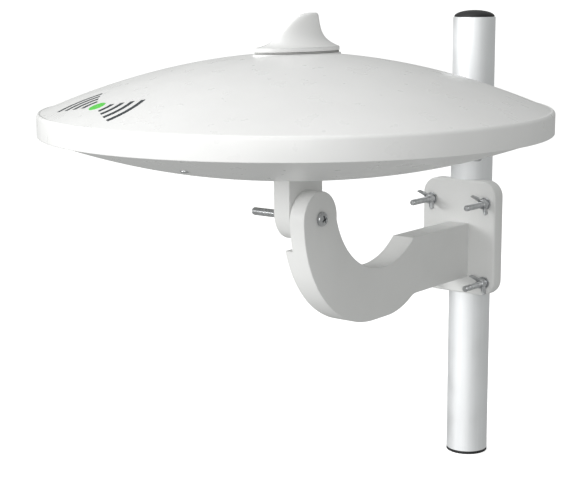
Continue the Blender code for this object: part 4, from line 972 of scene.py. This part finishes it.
def make_socket():
    """Threaded brass socket with a white insulator and a centre hole, its dark depth painted as shade by
    a black disc.
    """
    low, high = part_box("coax_socket")
    centre = middle("coax_socket")
    radius = 0.0047
    seat = RIM_Z - BOWL_DEPTH + COVER_WALL + 0.0007
    thread = threaded(radius, seat - low.z, 0.0008, 0.00045, sides=32)
    thread = turned(thread, Matrix.Translation((0, 0, seat)) @ Matrix.Rotation(radians(180), 4, "X"))
    collar = 0.0070
    collar_top = seat + 0.0025
    stem = 0.0030
    body = lathe([(0, seat - 0.0002), (collar, seat - 0.0002), (collar, collar_top),
                  (stem, collar_top), (stem, high.z), (0, high.z)], 48)
    piece("socket_body", gathered(thread, body), "dome", [BRASS], sharp=50,
          move=(centre.x, centre.y, 0), nodes=["coax_socket"])
    face = low.z - 0.00004
    insulator = lathe([(0.0011, face), (0.0033, face), (0.0033, face + 0.0005), (0.0011, face + 0.0005)],
                      40, closed=True)
    piece("socket_insulator", insulator, "dome", [WHITE],
          move=(centre.x, centre.y, 0))
    # black disc set just inside the insulator's bore: painted shade for the dark centre hole
    hole_shade = cylinder(0.0011, face + 0.00018, face + 0.0004, 24)
    piece("socket_hole_shade", hole_shade, "dome", [BLACK], move=(centre.x, centre.y, 0))
    nut_low, nut_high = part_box("socket_nut")
    flats = nut_high.y - nut_low.y
    nut = prism(hexagon(flats), 0, nut_high.z - nut_low.z, bevel=0.00035, segments=2)
    bore = cylinder(0.0049, -0.01, 0.02, 40)
    piece("socket_hex_nut", solid_result(nut, [("DIFFERENCE", bore)]), "dome", [BRASS],
          move=(centre.x, centre.y, nut_low.z), nodes=["socket_nut"])


def make_fm_loop():
    low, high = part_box("fm_loop")
    wire = max((high.z - low.z) / 2, 0.0014)
    ring = (high.x - low.x) / 2 - wire
    section = arc((ring, (low.z + high.z) / 2), wire, 0, 337.5, 15)
    piece("fm_wire_ring", lathe(section, 128, closed=True), "dome", [COPPER],
          move=(0, DOME_AXIS.y, 0), nodes=["fm_loop"])


def dress_cad_nodes():
    """Finishes for the CAD nodes whose shape is already right."""
    finishes = {"rim_seal": RUBBER, "fin_seal": PALE_RUBBER, "socket_ring": RUBBER, "inner_lead": BLACK,
                "circuit_board": BOARD, "amplifier_shield": SHIELD, "element_carrier": BLACK}
    for side in ("right", "back", "left", "front"):
        finishes["dipole_arm_" + side] = COPPER
    for name, material in finishes.items():
        slots = NODES[name].data.materials
        slots.clear()
        slots.append(material)


# -------------------------------------------------------- printed mark

MARK_ANGLE = -109.0           # middle of the mark about the dome's axis, in degrees
MARK_RADIUS = 0.1530
MARK_LIFT = 0.00012           # ink above the cover


def on_crown(along, outward):
    """Place on the crown from a distance along the mark and towards the dome's rim."""
    angle = radians(MARK_ANGLE) + along / MARK_RADIUS
    radius = MARK_RADIUS + outward
    z = crown_height(radius) + MARK_LIFT
    return at_dome(radius * cos(angle), radius * sin(angle), z)


def ink_shape(outline_pairs):
    """Thin sheet of ink between two lists of (along, outward) points, closed underneath."""
    maker = bmesh.new()
    top = [[maker.verts.new(on_crown(*point)) for point in pair] for pair in outline_pairs]
    sink = Vector((0, 0, -MARK_LIFT - 0.00004))
    low = [[maker.verts.new(corner.co + sink) for corner in pair] for pair in top]
    for first, second in zip(range(len(top)), range(1, len(top))):
        width = len(top[first])
        for index in range(width - 1):
            maker.faces.new([top[first][index], top[second][index], top[second][index + 1],
                             top[first][index + 1]])
            maker.faces.new([low[first][index], low[first][index + 1], low[second][index + 1],
                             low[second][index]])
        for index in (0, width - 1):
            maker.faces.new([top[first][index], low[first][index], low[second][index],
                             top[second][index]])
    for row in (0, len(top) - 1):
        for index in range(len(top[row]) - 1):
            maker.faces.new([top[row][index], top[row][index + 1], low[row][index + 1],
                             low[row][index]])
    return maker


def ink_arc(centre, radius, width, start, end, steps=28):
    pairs = []
    for step in range(steps + 1):
        angle = radians(start + (end - start) * step / steps)
        pair = []
        for across in (-0.5, 0.0, 0.5):
            reach = radius + across * width
            pair.append((centre[0] + reach * cos(angle), centre[1] + reach * sin(angle)))
        pairs.append(pair)
    return ink_shape(pairs)


def make_mark():
    """Generic radio-wave mark: nested arcs on both sides of a dot."""
    stroke = 0.0034
    arcs = []
    for radius in (0.0125, 0.0205, 0.0285, 0.0365):
        for facing in (0, 180):
            arcs.append(ink_arc((0, 0), radius, stroke, facing - 24, facing + 24))
    piece("mark_waves", gathered(*arcs), "dome", [SLATE])
    dot = ink_arc((0, 0), 0.0030, 0.0050, 0, 360, 40)
    bmesh.ops.remove_doubles(dot, verts=dot.verts, dist=0.000001)
    piece("mark_dot", dot, "dome", [GREEN])


# -------------------------------------------------------- stage, lights and camera

CAMERA_AZIMUTH = 38.01
CAMERA_ELEVATION = 10.949
CAMERA_ROLL = -0.363
CAMERA_PLACE = (0.60623, -1.03024, 0.40626)
CAMERA_LENS = 88.4


def make_floor():
    """Plain pale floor that curves up into a backdrop."""
    maker = bmesh.new()
    reach = 9.0
    rows = [(-reach, 0.0), (3.4, 0.0)]
    rows += [(3.4 + 1.6 * sin(radians(a)), 1.6 - 1.6 * cos(radians(a))) for a in range(10, 91, 10)]
    rows += [(5.0, 9.0)]
    lines = [[maker.verts.new((x, y, z)) for x in (-reach, reach)] for y, z in rows]
    for first, second in zip(lines, lines[1:]):
        maker.faces.new([first[0], first[1], second[1], second[0]])
    mesh = bpy.data.meshes.new("floor")
    maker.to_mesh(mesh)
    maker.free()
    floor = bpy.data.objects.new("floor", mesh)
    bpy.context.scene.collection.objects.link(floor)
    mesh.shade_smooth()
    material, nodes, links = new_material("pale_floor")
    shader = nodes["Principled BSDF"]
    grain = noise(nodes, links, 3.0)
    links.new(tint(nodes, links, grain.outputs["Fac"], (0.93, 0.93, 0.93), (0.96, 0.96, 0.96)),
              shader.inputs["Base Color"])
    shader.inputs["Roughness"].default_value = 0.9
    shader.inputs["Emission Color"].default_value = (1, 1, 1, 1)
    shader.inputs["Emission Strength"].default_value = 0.62
    mesh.materials.append(material)
    floor.rotation_euler = (0, 0, radians(CAMERA_AZIMUTH))
    floor.visible_diffuse = False
    floor.visible_glossy = False


def make_camera():
    """Camera square to the sight line, with a slight roll."""
    data = bpy.data.cameras.new("camera")
    data.lens = CAMERA_LENS
    data.sensor_width = 36
    data.clip_end = 60
    camera = bpy.data.objects.new("camera", data)
    bpy.context.scene.collection.objects.link(camera)
    azimuth = radians(CAMERA_AZIMUTH)
    elevation = radians(CAMERA_ELEVATION)
    back = Vector((sin(azimuth) * cos(elevation), -cos(azimuth) * cos(elevation), sin(elevation)))
    right = Vector((cos(azimuth), sin(azimuth), 0))
    up = back.cross(right)
    roll = radians(CAMERA_ROLL)
    right_rolled = right * cos(roll) + up * sin(roll)
    up_rolled = up * cos(roll) - right * sin(roll)
    turn = Matrix((right_rolled, up_rolled, back)).transposed().to_4x4()
    camera.matrix_world = Matrix.Translation(CAMERA_PLACE) @ turn
    bpy.context.scene.camera = camera


def area_light(name, place, aim, size, power, colour=(1, 1, 1)):
    data = bpy.data.lights.new(name, "AREA")
    data.shape = "RECTANGLE"
    data.size, data.size_y = size
    data.energy = power
    data.color = colour
    lamp = bpy.data.objects.new(name, data)
    bpy.context.scene.collection.objects.link(lamp)
    direction = Vector(aim) - Vector(place)
    lamp.rotation_euler = direction.to_track_quat("-Z", "Y").to_euler()
    lamp.location = place


def make_lights():
    """Even surround, a large soft box at the front left, weaker ones at the front right and above."""
    world = bpy.data.worlds.new("studio")
    world.use_nodes = True
    surround = world.node_tree.nodes["Background"]
    surround.inputs["Color"].default_value = (0.985, 1.0, 0.985, 1)
    surround.inputs["Strength"].default_value = 0.42
    bpy.context.scene.world = world
    bpy.context.scene.view_settings.view_transform = "Standard"
    area_light("key", (-1.2, -2.8, 1.1), (0, -0.2, 0.28), (1.6, 1.6), 69)
    area_light("fill", (1.3, -2.9, 0.8), (0, -0.2, 0.28), (2.0, 2.0), 29)
    area_light("top", (-0.6, -0.6, 2.6), (0, -0.2, 0.3), (2.0, 2.0), 17)


make_camera()
make_lights()
make_floor()
make_crown()
make_bowl()
make_fin()
make_bracket()
make_u_bolts()
make_wing_nuts()
make_washers()
make_pivot_bolt()
make_pivot_nut()
make_lug()
make_screws()
make_mast()
make_socket()
make_fm_loop()
dress_cad_nodes()
make_mark()
